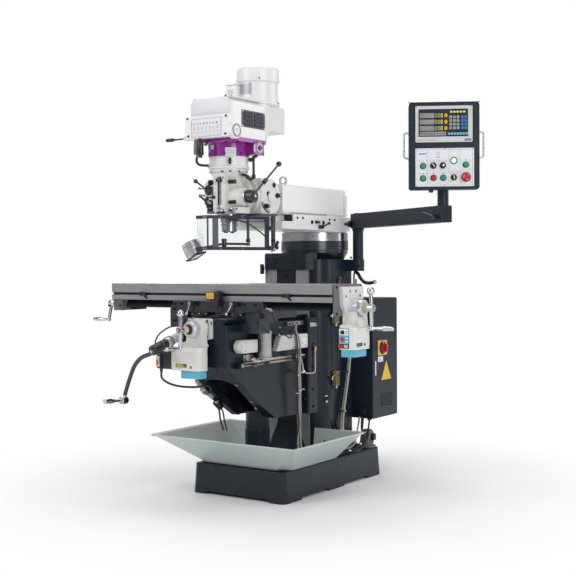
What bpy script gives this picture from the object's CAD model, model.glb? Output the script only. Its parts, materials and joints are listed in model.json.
import bpy, bmesh, json, random
from math import sin, cos, pi, radians, sqrt, atan2, hypot
from mathutils import Vector, Matrix, Quaternion

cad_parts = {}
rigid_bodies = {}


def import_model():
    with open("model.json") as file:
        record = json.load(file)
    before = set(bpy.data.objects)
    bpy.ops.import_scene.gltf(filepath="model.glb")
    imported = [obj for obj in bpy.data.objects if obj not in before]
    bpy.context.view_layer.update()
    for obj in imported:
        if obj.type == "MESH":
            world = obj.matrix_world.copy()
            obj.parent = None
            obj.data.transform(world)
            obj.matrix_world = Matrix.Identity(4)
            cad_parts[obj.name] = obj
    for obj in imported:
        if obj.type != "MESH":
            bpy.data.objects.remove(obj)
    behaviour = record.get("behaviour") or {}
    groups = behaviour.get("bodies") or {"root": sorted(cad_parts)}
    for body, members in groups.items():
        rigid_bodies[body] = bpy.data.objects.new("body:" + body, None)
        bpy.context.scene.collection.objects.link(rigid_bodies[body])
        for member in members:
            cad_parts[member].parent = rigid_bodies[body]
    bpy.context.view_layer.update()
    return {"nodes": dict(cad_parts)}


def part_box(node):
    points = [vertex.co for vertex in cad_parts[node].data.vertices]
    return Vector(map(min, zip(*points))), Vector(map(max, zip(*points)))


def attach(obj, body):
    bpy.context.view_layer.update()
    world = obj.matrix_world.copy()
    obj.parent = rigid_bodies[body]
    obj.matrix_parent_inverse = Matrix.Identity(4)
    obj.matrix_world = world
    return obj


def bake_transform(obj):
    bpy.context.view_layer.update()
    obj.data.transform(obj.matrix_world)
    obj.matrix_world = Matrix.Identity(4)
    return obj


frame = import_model()
nodes = frame["nodes"]
rng = random.Random(7)
S = 0.001


# ================================================================ materials
def srgb(*c):
    if len(c) == 1:
        c = c[0]
    out = []
    for v in c[:3]:
        v = v / 255.0
        out.append(v / 12.92 if v <= 0.04045 else ((v + 0.055) / 1.055) ** 2.4)
    return (*out, 1.0)


class NT:
    """Small helper that wires shader nodes together."""

    def __init__(self, name):
        m = bpy.data.materials.get(name)
        if m is None:
            m = bpy.data.materials.new(name)
        m.use_nodes = True
        self.m, self.t = m, m.node_tree
        self.t.nodes.clear()
        self.out = self.n("ShaderNodeOutputMaterial")
        self.tc = self.n("ShaderNodeTexCoord")

    def n(self, kind, **props):
        nd = self.t.nodes.new(kind)
        for k, v in props.items():
            setattr(nd, k, v)
        return nd

    def l(self, a, b):
        self.t.links.new(a, b)

    def put(self, sock, v):
        if hasattr(v, "links") or isinstance(v, bpy.types.NodeSocket):
            self.l(v, sock)
        else:
            sock.default_value = v

    def noise(self, scale, detail=3.0, rough=0.55, stretch=None, vec=None, dist=0.0):
        v = vec or self.tc.outputs["Object"]
        if stretch:
            mp = self.n("ShaderNodeMapping")
            mp.inputs["Scale"].default_value = stretch
            self.l(v, mp.inputs["Vector"])
            v = mp.outputs["Vector"]
        nd = self.n("ShaderNodeTexNoise")
        self.l(v, nd.inputs["Vector"])
        nd.inputs["Scale"].default_value = scale
        nd.inputs["Detail"].default_value = detail
        nd.inputs["Roughness"].default_value = rough
        nd.inputs["Distortion"].default_value = dist
        return nd.outputs["Fac"]

    def ramp(self, v, a, b, lo=0.0, hi=1.0):
        nd = self.n("ShaderNodeMapRange")
        nd.interpolation_type = "SMOOTHSTEP"
        self.put(nd.inputs["Value"], v)
        for k, x in (("From Min", a), ("From Max", b), ("To Min", lo), ("To Max", hi)):
            nd.inputs[k].default_value = x
        return nd.outputs["Result"]

    def math(self, op, a, b=0.0, clamp=False):
        nd = self.n("ShaderNodeMath", operation=op, use_clamp=clamp)
        self.put(nd.inputs[0], a)
        self.put(nd.inputs[1], b)
        return nd.outputs[0]

    def mix(self, f, a, b, mode="MIX"):
        nd = self.n("ShaderNodeMix", data_type="RGBA", blend_type=mode)
        self.put(nd.inputs["Factor"], f)
        self.put(nd.inputs["A"], a)
        self.put(nd.inputs["B"], b)
        return [o for o in nd.outputs if o.type == "RGBA"][0]

    def axis(self, which, src="Object"):
        sp = self.n("ShaderNodeSeparateXYZ")
        self.l(self.tc.outputs[src], sp.inputs[0])
        return sp.outputs[which]

    def bsdf(self, **kw):
        b = self.n("ShaderNodeBsdfPrincipled")
        for k, v in kw.items():
            self.put(b.inputs[k.replace("_", " ")], v)
        self.l(b.outputs[0], self.out.inputs[0])
        return b


def shade(c, f):
    return (min(1, c[0] * f), min(1, c[1] * f), min(1, c[2] * f), 1.0)


def paint(name, col, rough=0.38, vary=0.05, peel=0.10, peel_scale=330.0, coat=0.15, edge_r=0.0022, wear=0.0,
          wear_col=(0.32, 0.33, 0.34, 1), dust=0.02, grime=0.04, fine=0.0, metallic=0.0, lift=1.18, spec=0.5):
    """Sprayed enamel over a casting: orange peel, soft edges, faint wear, dust on top and grime low down."""
    t = NT(name)
    c = srgb(col)
    big = t.noise(3.1, 4, 0.6)
    mid = t.noise(23.0, 4, 0.6)
    base = t.mix(t.ramp(big, 0.32, 0.70), shade(c, 1 - vary), shade(c, 1 + vary))
    base = t.mix(t.ramp(mid, 0.42, 0.80, 0.0, grime), base, shade(c, 0.86))
    bev = t.n("ShaderNodeBevel", samples=4)
    bev.inputs["Radius"].default_value = edge_r
    geo = t.n("ShaderNodeNewGeometry")
    dot = t.n("ShaderNodeVectorMath", operation="DOT_PRODUCT")
    t.l(bev.outputs[0], dot.inputs[0])
    t.l(geo.outputs["Normal"], dot.inputs[1])
    edge = t.ramp(dot.outputs["Value"], 0.995, 0.86)
    chip = t.noise(95.0, 5, 0.7)
    base = t.mix(t.math("MULTIPLY", edge, 0.55), base, shade(c, lift))
    if wear > 0:
        worn = t.math("MULTIPLY", edge, t.ramp(chip, 0.60 - 0.12 * wear, 0.68 - 0.10 * wear))
        base = t.mix(worn, base, wear_col)
    if dust > 0:
        sp = t.n("ShaderNodeSeparateXYZ")
        t.l(geo.outputs["Normal"], sp.inputs[0])
        up = t.math("MULTIPLY", t.ramp(sp.outputs[2], 0.55, 1.0), t.ramp(mid, 0.25, 0.8))
        base = t.mix(t.math("MULTIPLY", up, dust), base, (0.42, 0.41, 0.39, 1))
    peeln = t.noise(peel_scale, 2, 0.5)
    h = peeln
    if fine > 0:
        h = t.math("ADD", peeln, t.math("MULTIPLY", t.noise(60.0, 6, 0.65), fine))
    bump = t.n("ShaderNodeBump")
    bump.inputs["Strength"].default_value = peel
    bump.inputs["Distance"].default_value = 0.0006
    t.l(h, bump.inputs["Height"])
    t.l(bev.outputs[0], bump.inputs["Normal"])
    ro = t.math("ADD", t.ramp(mid, 0.3, 0.8, rough - 0.02, rough + 0.05), 0.0)
    t.bsdf(Base_Color=base, Roughness=ro, Normal=bump.outputs[0], Coat_Weight=coat, Coat_Roughness=0.25,
           Metallic=metallic, Specular_IOR_Level=spec)
    return t.m


def steel(name, col=(150, 151, 155), rough=0.30, stretch=(1, 30, 30), scale=60.0, bump_s=0.10, metallic=0.9,
          vary=0.12, stain=0.25, edge_r=0.0010, rings=0.0):
    """Ground or turned steel: directional scratches, oil staining and bright edges."""
    t = NT(name)
    c = srgb(col)
    scr = t.noise(scale, 5, 0.7, stretch=stretch)
    fine = t.noise(scale * 4, 3, 0.6, stretch=stretch)
    big = t.noise(5.5, 5, 0.62)
    base = t.mix(t.ramp(scr, 0.35, 0.68), shade(c, 1 - vary), shade(c, 1 + vary))
    base = t.mix(t.ramp(big, 0.45, 0.72, 0.0, stain), base, (c[0] * 0.62, c[1] * 0.60, c[2] * 0.58, 1))
    bev = t.n("ShaderNodeBevel", samples=4)
    bev.inputs["Radius"].default_value = edge_r
    bump = t.n("ShaderNodeBump")
    bump.inputs["Strength"].default_value = bump_s
    bump.inputs["Distance"].default_value = 0.0004
    t.l(t.math("ADD", scr, fine), bump.inputs["Height"])
    t.l(bev.outputs[0], bump.inputs["Normal"])
    t.bsdf(Base_Color=base, Roughness=t.ramp(scr, 0.25, 0.8, rough - 0.06, rough + 0.14), Metallic=metallic,
           Normal=bump.outputs[0])
    return t.m


def chrome(name, col=(205, 207, 212), rough=0.09, haze=0.10):
    t = NT(name)
    c = srgb(col)
    n1 = t.noise(34.0, 4, 0.6)
    sm = t.noise(7.0, 4, 0.6)
    base = t.mix(t.ramp(sm, 0.4, 0.75, 0.0, 0.35), c, shade(c, 0.78))
    bev = t.n("ShaderNodeBevel", samples=3)
    bev.inputs["Radius"].default_value = 0.0007
    bump = t.n("ShaderNodeBump")
    bump.inputs["Strength"].default_value = 0.04
    bump.inputs["Distance"].default_value = 0.0004
    t.l(t.noise(210.0, 2), bump.inputs["Height"])
    t.l(bev.outputs[0], bump.inputs["Normal"])
    t.bsdf(Base_Color=base, Metallic=1.0, Roughness=t.ramp(n1, 0.35, 0.75, rough, rough + haze), Normal=bump.outputs[0])
    return t.m


def plastic(name, col, rough=0.35, grain=0.12, gscale=700.0, vary=0.06, coat=0.0, metallic=0.0, spec=0.5, sss=0.0):
    """Moulded plastic or rubber: fine pebble grain, slight mottling and scuffs."""
    t = NT(name)
    c = srgb(col)
    base = t.mix(t.ramp(t.noise(14.0, 4), 0.3, 0.75), shade(c, 1 - vary), shade(c, 1 + vary))
    scuff = t.ramp(t.noise(120.0, 6, 0.72, stretch=(1, 1, 3)), 0.60, 0.74)
    base = t.mix(t.math("MULTIPLY", scuff, 0.12), base, (0.4, 0.4, 0.4, 1))
    bev = t.n("ShaderNodeBevel", samples=3)
    bev.inputs["Radius"].default_value = 0.0008
    bump = t.n("ShaderNodeBump")
    bump.inputs["Strength"].default_value = grain
    bump.inputs["Distance"].default_value = 0.0003
    t.l(t.noise(gscale, 2, 0.5), bump.inputs["Height"])
    t.l(bev.outputs[0], bump.inputs["Normal"])
    b = t.bsdf(Base_Color=base, Roughness=t.ramp(t.noise(40.0, 3), 0.3, 0.8, rough - 0.04, rough + 0.12),
               Normal=bump.outputs[0], Coat_Weight=coat, Metallic=metallic, Specular_IOR_Level=spec)
    return t.m


def glass(name, tint=(247, 250, 249), alpha_mix=0.88, rough=0.05):
    """Clear polycarbonate sheet: mostly see-through with a faint scuffed sheen."""
    t = NT(name)
    tr = t.n("ShaderNodeBsdfTransparent")
    tr.inputs[0].default_value = srgb(tint)
    gl = t.n("ShaderNodeBsdfGlossy")
    gl.inputs[0].default_value = (0.95, 0.97, 1.0, 1)
    t.put(gl.inputs["Roughness"], t.ramp(t.noise(30.0, 5, 0.7), 0.3, 0.75, rough, rough + 0.16))
    lw = t.n("ShaderNodeLayerWeight")
    lw.inputs[0].default_value = 0.28
    mx = t.n("ShaderNodeMixShader")
    f = t.math("ADD", t.math("MULTIPLY", lw.outputs["Fresnel"], 0.35), t.ramp(t.noise(55.0, 6, 0.75, stretch=(1, 1, 6)), 0.60, 0.80, 0.01, 0.03))
    t.l(f, mx.inputs[0])
    t.l(tr.outputs[0], mx.inputs[1])
    t.l(gl.outputs[0], mx.inputs[2])
    t.l(mx.outputs[0], t.out.inputs[0])
    return t.m


def brushed_label(name, col, rough=0.42, metallic=0.0, vary=0.03):
    """Printed foil or anodised plate: slight brushing and uneven sheen."""
    t = NT(name)
    c = srgb(col)
    s = t.noise(160.0, 3, 0.6, stretch=(1, 1, 14))
    base = t.mix(t.ramp(s, 0.3, 0.7), shade(c, 1 - vary), shade(c, 1 + vary))
    base = t.mix(t.ramp(t.noise(18.0, 4), 0.5, 0.8, 0.0, 0.10), base, shade(c, 0.80))
    bump = t.n("ShaderNodeBump")
    bump.inputs["Strength"].default_value = 0.03
    bump.inputs["Distance"].default_value = 0.0003
    t.l(s, bump.inputs["Height"])
    t.bsdf(Base_Color=base, Roughness=t.ramp(s, 0.2, 0.8, rough - 0.05, rough + 0.08), Metallic=metallic, Normal=bump.outputs[0])
    return t.m


def glow(name, col, strength=1.0):
    t = NT(name)
    c = srgb(col)
    base = t.mix(t.ramp(t.noise(300.0, 2), 0.3, 0.7), shade(c, 0.9), c)
    b = t.bsdf(Base_Color=base, Roughness=0.35)
    t.put(b.inputs["Emission Color"], base)
    b.inputs["Emission Strength"].default_value = strength
    return t.m


def wipe(name):
    """Ribbed rubber way wiper."""
    t = NT(name)
    c = srgb(32, 33, 35)
    t.bsdf(Base_Color=t.mix(t.ramp(t.noise(25.0, 3), 0.3, 0.7), shade(c, 0.8), shade(c, 1.25)),
           Roughness=t.ramp(t.noise(45.0, 3), 0.3, 0.7, 0.5, 0.7))
    return t.m


DARK = (25, 34, 44)
M = {}
M["dark"] = paint("dark_casting", DARK, rough=0.26, vary=0.05, peel=0.16, peel_scale=150.0, coat=0.14, edge_r=0.0040, wear=0.06, spec=0.22,
                  fine=0.12, dust=0.03, lift=2.2, grime=0.15)
M["darkgl"] = paint("dark_casting_gloss", (34, 42, 52), rough=0.20, vary=0.04, peel=0.10, peel_scale=150.0, coat=0.40, spec=0.45,
                    edge_r=0.0040, lift=2.4, dust=0.0, grime=0.06)
M["darkbs"] = paint("dark_base", (24, 34, 43), rough=0.27, vary=0.02, peel=0.06, peel_scale=150.0, coat=0.16, spec=0.24, edge_r=0.0060, lift=2.8,
                    dust=0.0, grime=0.05)
M["dark2"] = paint("dark_casting_rough", (22, 29, 37), rough=0.42, vary=0.06, peel=0.30, peel_scale=130.0, spec=0.2, coat=0.0, edge_r=0.003,
                   wear=0.1, fine=0.3, dust=0.03, lift=1.7)
M["tray"] = paint("tray_enamel", (190, 199, 199), rough=0.30, vary=0.02, peel=0.08, coat=0.35, edge_r=0.0020, wear=0.05, dust=0.03, grime=0.05, lift=1.06)
M["white"] = paint("white_enamel", (231, 233, 231), rough=0.30, vary=0.014, peel=0.16, peel_scale=260.0, coat=0.30, edge_r=0.0028, wear=0.05,
                   dust=0.04, grime=0.035, fine=0.20, lift=1.04, wear_col=(0.45, 0.45, 0.44, 1))
M["white2"] = paint("white_enamel_cast", (216, 218, 213), rough=0.36, vary=0.02, peel=0.24, peel_scale=190.0, coat=0.2, edge_r=0.003,
                    wear=0.08, dust=0.06, grime=0.06, fine=0.35, lift=1.05, wear_col=(0.4, 0.4, 0.39, 1))
M["purple"] = paint("purple_enamel", (138, 26, 140), rough=0.24, vary=0.05, peel=0.16, coat=0.45, edge_r=0.0025, wear=0.05, dust=0.05, lift=1.5,
                    wear_col=(0.35, 0.12, 0.35, 1))
M["steel"] = steel("ground_steel", (158, 159, 163))
M["steel_x"] = steel("ground_steel_table", (150, 151, 153), rough=0.34, stretch=(1, 26, 26), scale=26.0, bump_s=0.12, metallic=0.55, vary=0.07, stain=0.30)
M["steel_z"] = steel("ground_steel_ways", (148, 147, 150), rough=0.36, stretch=(26, 26, 1), scale=26.0, bump_s=0.12, metallic=0.5, vary=0.08)
M["steel_y"] = steel("ground_steel_knee", (140, 141, 144), rough=0.34, stretch=(26, 1, 26), scale=26.0, metallic=0.6)
M["turned"] = steel("turned_steel", (186, 187, 190), rough=0.20, stretch=(1, 1, 40), scale=30.0, bump_s=0.08, metallic=1.0, vary=0.06, stain=0.10)
M["grey"] = paint("grey_casting", (104, 104, 108), rough=0.42, vary=0.06, peel=0.30, edge_r=0.0018, wear=0.25, fine=0.4, lift=1.3, coat=0.1)
M["chrome"] = chrome("chrome_handles")
M["zinc"] = chrome("zinc_plate", (186, 187, 186), rough=0.22, haze=0.14)
M["black"] = plastic("black_handles", (26, 27, 30), rough=0.26, coat=0.35, grain=0.05)
M["blackox"] = steel("black_oxide", (38, 39, 43), rough=0.34, metallic=0.55, stretch=(3, 3, 3), scale=90.0, vary=0.2, stain=0.3, edge_r=0.0008)
M["sheet"] = paint("sheet_dark", (30, 38, 49), rough=0.34, vary=0.03, peel=0.12, peel_scale=420.0, spec=0.22, coat=0.06, edge_r=0.0016, wear=0.05, dust=0.03, lift=1.8)
M["pendant"] = paint("pendant_paint", (24, 36, 49), spec=0.3, rough=0.42, vary=0.04, peel=0.30, peel_scale=520.0, coat=0.1, edge_r=0.0016, wear=0.06, dust=0.06, lift=1.4)
M["readout"] = plastic("readout_plastic", (196, 198, 198), rough=0.42, grain=0.10)
M["guard"] = paint("guard_black", (42, 49, 60), rough=0.32, vary=0.05, peel=0.2, peel_scale=400.0, coat=0.2, edge_r=0.0010, wear=0.2, dust=0.05, lift=1.5)
M["clear"] = glass("clear_shield")
M["alloy"] = steel("lamp_alloy", (205, 207, 208), rough=0.26, stretch=(2, 2, 2), scale=40.0, metallic=0.85, vary=0.04, stain=0.06, bump_s=0.05)
M["belt"] = plastic("belt_rubber", (24, 24, 26), rough=0.62, grain=0.35, gscale=420.0)
M["red"] = plastic("red_plastic", (178, 26, 40), rough=0.28, coat=0.2)
M["green"] = plastic("green_plastic", (38, 140, 112), rough=0.30, coat=0.2)
M["blackp"] = plastic("black_plastic", (27, 28, 30), rough=0.36, grain=0.18)
M["knurl"] = plastic("knurled_black", (36, 37, 41), rough=0.42, grain=0.3, gscale=300.0)
M["yellow"] = plastic("yellow_plate", (222, 184, 58), rough=0.42)
M["orange"] = plastic("orange_key", (218, 112, 40), rough=0.35)
M["blue"] = plastic("feed_blue", (92, 172, 202), rough=0.34, coat=0.15)
M["bluedk"] = plastic("key_blue", (46, 110, 170), rough=0.35)
M["amber"] = plastic("key_amber", (218, 158, 42), rough=0.35)
M["keygrey"] = plastic("key_grey", (150, 152, 152), rough=0.4)
M["cream"] = plastic("cream_nut", (206, 186, 140), rough=0.34, coat=0.2)
M["brass"] = steel("brass", (196, 160, 96), rough=0.24, metallic=1.0, stretch=(2, 2, 2), scale=60.0, stain=0.15)
M["copper"] = steel("oil_pipe", (196, 186, 170), rough=0.30, metallic=0.6, stretch=(2, 2, 2), scale=60.0, stain=0.15)
M["label"] = brushed_label("label_white", (232, 234, 238), rough=0.38)
M["plate"] = brushed_label("panel_plate", (222, 224, 228), rough=0.40)
M["silver"] = brushed_label("label_silver", (176, 178, 182), rough=0.34, metallic=0.5)
M["dialm"] = steel("dial_satin", (198, 200, 204), rough=0.28, metallic=0.9, stretch=(1, 1, 1), scale=50.0, vary=0.04, stain=0.05)
M["bracket"] = paint("bracket_enamel", (78, 88, 90), rough=0.36, vary=0.04, peel=0.18, edge_r=0.0018, wear=0.15, lift=1.3, coat=0.2)
M["cream2"] = paint("lubricator_cream", (206, 208, 202), rough=0.36, vary=0.03, peel=0.14, edge_r=0.0016, lift=1.05, coat=0.15)
M["rail"] = steel("aluminium_rail", (176, 168, 152), rough=0.34, stretch=(26, 1, 26), scale=26.0, metallic=0.7, stain=0.3)
M["brownst"] = steel("bronze_parts", (120, 96, 72), rough=0.38, metallic=0.7, stretch=(3, 3, 3), stain=0.35)
M["dialc"] = plastic("dial_grey", (196, 198, 206), rough=0.30, grain=0.03, coat=0.3, metallic=0.25)
M["vent"] = paint("vent_plate", (50, 53, 68), rough=0.36, vary=0.04, peel=0.15, edge_r=0.0008, lift=1.5, coat=0.1, dust=0.02)
M["ink"] = plastic("ink_black", (22, 22, 26), rough=0.5, grain=0.0)
M["inkgrey"] = plastic("ink_grey", (118, 120, 126), rough=0.5, grain=0.0)
M["inkred"] = plastic("ink_red", (176, 40, 48), rough=0.5, grain=0.0)
M["screen"] = plastic("screen_dark", (24, 36, 40), rough=0.14, grain=0.02, coat=0.6)
M["seg"] = glow("readout_lit", (214, 204, 96), 0.35)
M["segoff"] = plastic("readout_unlit", (104, 108, 104), rough=0.4, grain=0.05)
M["lamp"] = glow("indicator_white", (250, 255, 252), 0.6)
M["lampglass"] = glow("lamp_window", (244, 246, 248), 0.15)
M["rubber"] = plastic("rubber_black", (30, 31, 34), rough=0.55, grain=0.3, gscale=380.0)
M["wiper"] = wipe("way_wiper")
M["hose_grey"] = plastic("hose_grey", (168, 166, 160), rough=0.45, grain=0.1)
M["cable"] = plastic("cable_black", (33, 33, 35), rough=0.45, grain=0.1)
M["reservoir"] = plastic("reservoir_plastic", (182, 184, 182), rough=0.30, grain=0.06, coat=0.25)
M["olive"] = paint("switch_olive", (128, 118, 78), rough=0.4, vary=0.08, peel=0.3, edge_r=0.001, wear=0.3, lift=1.3)
M["pump"] = paint("pump_grey", (96, 104, 110), rough=0.36, vary=0.05, peel=0.2, edge_r=0.0012, wear=0.1, lift=1.3)

SLOT = {"dark": "dark_casting", "dark2": "dark_casting", "tray": "tray_enamel", "white": "white_enamel", "white2": "white_enamel",
        "purple": "purple_enamel", "steel": "ground_steel", "chrome": "chrome_handles", "black": "black_handles",
        "sheet": "sheet_dark", "pendant": "pendant_paint", "readout": "readout_plastic", "guard": "guard_black",
        "clear": "clear_shield", "alloy": "lamp_alloy", "belt": "belt_rubber", "red": "red_plastic", "green": "green_plastic",
        "blackp": "black_plastic", "grey": "grey_casting"}


# ================================================================ mesh pieces
class Piece:
    """One object built from several formed shapes, millimetres in, metres out."""

    def __init__(self, name, body, slot):
        self.name, self.body, self.slot = name, body, slot
        self.bm = bmesh.new()
        self.mats, self.cur = [], 0
        self.sharp = 35.0
        self.tf = Matrix.Identity(4)

    def m(self, key):
        mt = M[key]
        if mt not in self.mats:
            self.mats.append(mt)
        self.cur = self.mats.index(mt)
        return self

    def at(self, tf):
        self.tf = tf
        return self

    def _take(self, bm2, smooth=True):
        """merge a small bmesh into the piece"""
        bmesh.ops.recalc_face_normals(bm2, faces=bm2.faces)
        vs = {}
        for v in bm2.verts:
            vs[v] = self.bm.verts.new(self.tf @ v.co)
        for f in bm2.faces:
            try:
                nf = self.bm.faces.new([vs[v] for v in f.verts])
            except ValueError:
                continue
            nf.material_index = self.cur
            nf.smooth = smooth
        bm2.free()
        return self

    def box(self, x0, x1, y0, y1, z0, z1, bev=1.0, seg=2, taper=None):
        b = bmesh.new()
        tx, ty = taper or (0, 0)
        pts = [(x0, y0, z0), (x1, y0, z0), (x1, y1, z0), (x0, y1, z0),
               (x0 + tx, y0 + ty, z1), (x1 - tx, y0 + ty, z1), (x1 - tx, y1 - ty, z1), (x0 + tx, y1 - ty, z1)]
        v = [b.verts.new(p) for p in pts]
        for q in ((0, 3, 2, 1), (4, 5, 6, 7), (0, 1, 5, 4), (1, 2, 6, 5), (2, 3, 7, 6), (3, 0, 4, 7)):
            b.faces.new([v[i] for i in q])
        lim = min(abs(x1 - x0), abs(y1 - y0), abs(z1 - z0)) * 0.45
        bev = min(bev, lim)
        if bev > 0.05:
            bmesh.ops.bevel(b, geom=list(b.edges), offset=bev, segments=seg, profile=0.5, affect="EDGES")
        return self._take(b)

    def obox(self, c, size, x, y, bev=1.0):
        """box centred at c with local x and y directions"""
        x, y = Vector(x).normalized(), Vector(y).normalized()
        z = x.cross(y).normalized()
        y = z.cross(x)
        keep = self.tf
        self.tf = keep @ Matrix.Translation(Vector(c)) @ Matrix((x, y, z)).transposed().to_4x4()
        a, b, d = size
        self.box(-a / 2, a / 2, -b / 2, b / 2, -d / 2, d / 2, bev)
        self.tf = keep
        return self

    def prism(self, pts, axis, a, b, bev=1.0, seg=2):
        """closed 2-D outline pushed along an axis"""
        bm = bmesh.new()

        def P(p, h):
            return {"x": (h, p[0], p[1]), "y": (p[0], h, p[1]), "z": (p[0], p[1], h)}[axis]
        lo = [bm.verts.new(P(p, a)) for p in pts]
        hi = [bm.verts.new(P(p, b)) for p in pts]
        f0 = bm.faces.new(lo)
        f1 = bm.faces.new(hi)
        n = len(pts)
        for i in range(n):
            bm.faces.new((lo[i], lo[(i + 1) % n], hi[(i + 1) % n], hi[i]))
        bmesh.ops.recalc_face_normals(bm, faces=bm.faces)
        if bev > 0.05:
            es = [e for e in bm.edges if e.calc_face_angle(0) > 0.35]
            bmesh.ops.bevel(bm, geom=es, offset=min(bev, abs(b - a) * 0.45), segments=seg, profile=0.5, affect="EDGES")
        big = [f for f in bm.faces if len(f.verts) > 4]
        if big:
            bmesh.ops.triangulate(bm, faces=big)
        return self._take(bm)

    def lathe(self, origin, direction, prof, n=40, start=0.0):
        """turned form; prof is (radius, height) from one pole or rim to the other, closed on the axis"""
        d = Vector(direction).normalized()
        x = d.orthogonal().normalized()
        y = d.cross(x)
        o = Vector(origin)
        bm = bmesh.new()
        if prof[0][0] > 1e-6:
            prof = [(0.0, prof[0][1])] + list(prof)
        if prof[-1][0] > 1e-6:
            prof = list(prof) + [(0.0, prof[-1][1])]
        rings = []
        for r, h in prof:
            if r < 1e-6:
                rings.append([bm.verts.new(o + d * h)])
            else:
                rings.append([bm.verts.new(o + d * h + (x * cos(start + 2 * pi * i / n) + y * sin(start + 2 * pi * i / n)) * r) for i in range(n)])
        for a, b in zip(rings, rings[1:]):
            if len(a) == 1 and len(b) == 1:
                continue
            for i in range(n):
                j = (i + 1) % n
                if len(a) == 1:
                    bm.faces.new((a[0], b[i], b[j]))
                elif len(b) == 1:
                    bm.faces.new((a[i], a[j], b[0]))
                else:
                    bm.faces.new((a[i], a[j], b[j], b[i]))
        return self._take(bm)

    def ring(self, origin, direction, prof, n=48):
        """turned form whose outline is a closed loop (washer, bezel, collar with a hole)"""
        d = Vector(direction).normalized()
        x = d.orthogonal().normalized()
        y = d.cross(x)
        o = Vector(origin)
        bm = bmesh.new()
        rings = [[bm.verts.new(o + d * h + (x * cos(2 * pi * i / n) + y * sin(2 * pi * i / n)) * r) for i in range(n)] for r, h in prof]
        k = len(prof)
        for a in range(k):
            b = (a + 1) % k
            for i in range(n):
                j = (i + 1) % n
                bm.faces.new((rings[a][i], rings[a][j], rings[b][j], rings[b][i]))
        return self._take(bm)

    def cyl(self, p, q, r, r2=None, bev=0.8, n=32):
        """rounded-edge bar between two points"""
        p, q = Vector(p), Vector(q)
        L = (q - p).length
        r2 = r if r2 is None else r2
        b = min(bev, r * 0.4, r2 * 0.4, L * 0.3)
        k = b * 0.3
        return self.lathe(p, q - p, [(r - b, 0), (r - k, k), (r, b), (r2, L - b), (r2 - k, L - k), (r2 - b, L)], n)

    def hexa(self, p, q, r, bev=0.6):
        """hexagon bar, r across corners"""
        p, q = Vector(p), Vector(q)
        L = (q - p).length
        b = min(bev, L * 0.3, r * 0.2)
        return self.lathe(p, q - p, [(r - b, 0), (r, b), (r, L - b), (r - b, L)], 6)

    def ball(self, c, r, d=(0, 0, 1), n=24, flat=0.0):
        k = 12
        prof = []
        for i in range(k + 1):
            a = -pi / 2 + pi * i / k
            prof.append((max(0.0, r * cos(a)) if 0 < i < k else 0.0, r * sin(a)))
        return self.lathe(c, d, prof, n)

    def tube(self, pts, r, n=12, smooth=8, closed=False, ribs=0.0, pitch=6.0, flat=False):
        """hose or rod through points, following a smooth curve"""
        P = [Vector(p) for p in pts]
        if smooth and len(P) > 2:
            out = []
            m = len(P)
            segs = m if closed else m - 1
            for i in range(segs):
                p0 = P[(i - 1) % m] if closed or i > 0 else P[0] * 2 - P[1]
                p1, p2 = P[i], P[(i + 1) % m]
                p3 = P[(i + 2) % m] if closed or i + 2 < m else P[-1] * 2 - P[-2]
                for s in range(smooth):
                    u = s / smooth
                    out.append(0.5 * ((2 * p1) + (p2 - p0) * u + (2 * p0 - 5 * p1 + 4 * p2 - p3) * u * u + (3 * p1 - p0 - 3 * p2 + p3) * u ** 3))
            if not closed:
                out.append(P[-1])
            P = out
        if ribs > 0:
            L = [0.0]
            for a, b in zip(P, P[1:]):
                L.append(L[-1] + (b - a).length)
            count = max(4, int(L[-1] / pitch * 4))
            Q = []
            j = 0
            for i in range(count + 1):
                s = L[-1] * i / count
                while j < len(L) - 2 and L[j + 1] < s:
                    j += 1
                f = (s - L[j]) / max(1e-9, L[j + 1] - L[j])
                Q.append(P[j].lerp(P[j + 1], f))
            P = Q
        m = len(P)
        bm = bmesh.new()
        t0 = (P[1] - P[0]).normalized()
        u = t0.orthogonal().normalized()
        rings = []
        for i in range(m):
            if closed:
                t = (P[(i + 1) % m] - P[i - 1]).normalized()
            else:
                t = (P[min(i + 1, m - 1)] - P[max(i - 1, 0)]).normalized()
            u = (u - t * u.dot(t)).normalized()
            w = t.cross(u)
            rr = r * (1 - ribs if ribs > 0 and (i % 4) in (0, 3) else 1)
            rings.append([bm.verts.new(P[i] + (u * cos(2 * pi * k / n) + w * sin(2 * pi * k / n)) * rr) for k in range(n)])
        for i in range(m if closed else m - 1):
            a, b = rings[i], rings[(i + 1) % m]
            off = 0
            if closed and i == m - 1:
                best = 1e9
                for o in range(n):
                    dd = (a[0].co - b[o].co).length
                    if dd < best:
                        best, off = dd, o
            for k in range(n):
                bm.faces.new((a[k], a[(k + 1) % n], b[(k + 1 + off) % n], b[(k + off) % n]))
        if not closed:
            for rg, p, s in ((rings[0], P[0], -1), (rings[-1], P[-1], 1)):
                c = bm.verts.new(p)
                for k in range(n):
                    bm.faces.new((rg[k], rg[(k + 1) % n], c))
        return self._take(bm)

    def sweep(self, pts, w, t, normal=(0, 0, 1), smooth=0):
        """flat strap of width w along normal and thickness t, through points"""
        P = [Vector(p) for p in pts]
        nrm = Vector(normal).normalized()
        bm = bmesh.new()
        rings = []
        for i in range(len(P)):
            tt = (P[min(i + 1, len(P) - 1)] - P[max(i - 1, 0)]).normalized()
            s = tt.cross(nrm).normalized()
            rings.append([bm.verts.new(P[i] + nrm * a * w / 2 + s * b * t / 2) for a, b in ((-1, -1), (1, -1), (1, 1), (-1, 1))])
        for a, b in zip(rings, rings[1:]):
            for k in range(4):
                bm.faces.new((a[k], a[(k + 1) % 4], b[(k + 1) % 4], b[k]))
        bm.faces.new(rings[0])
        bm.faces.new(rings[-1])
        return self._take(bm, smooth=False)

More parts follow.
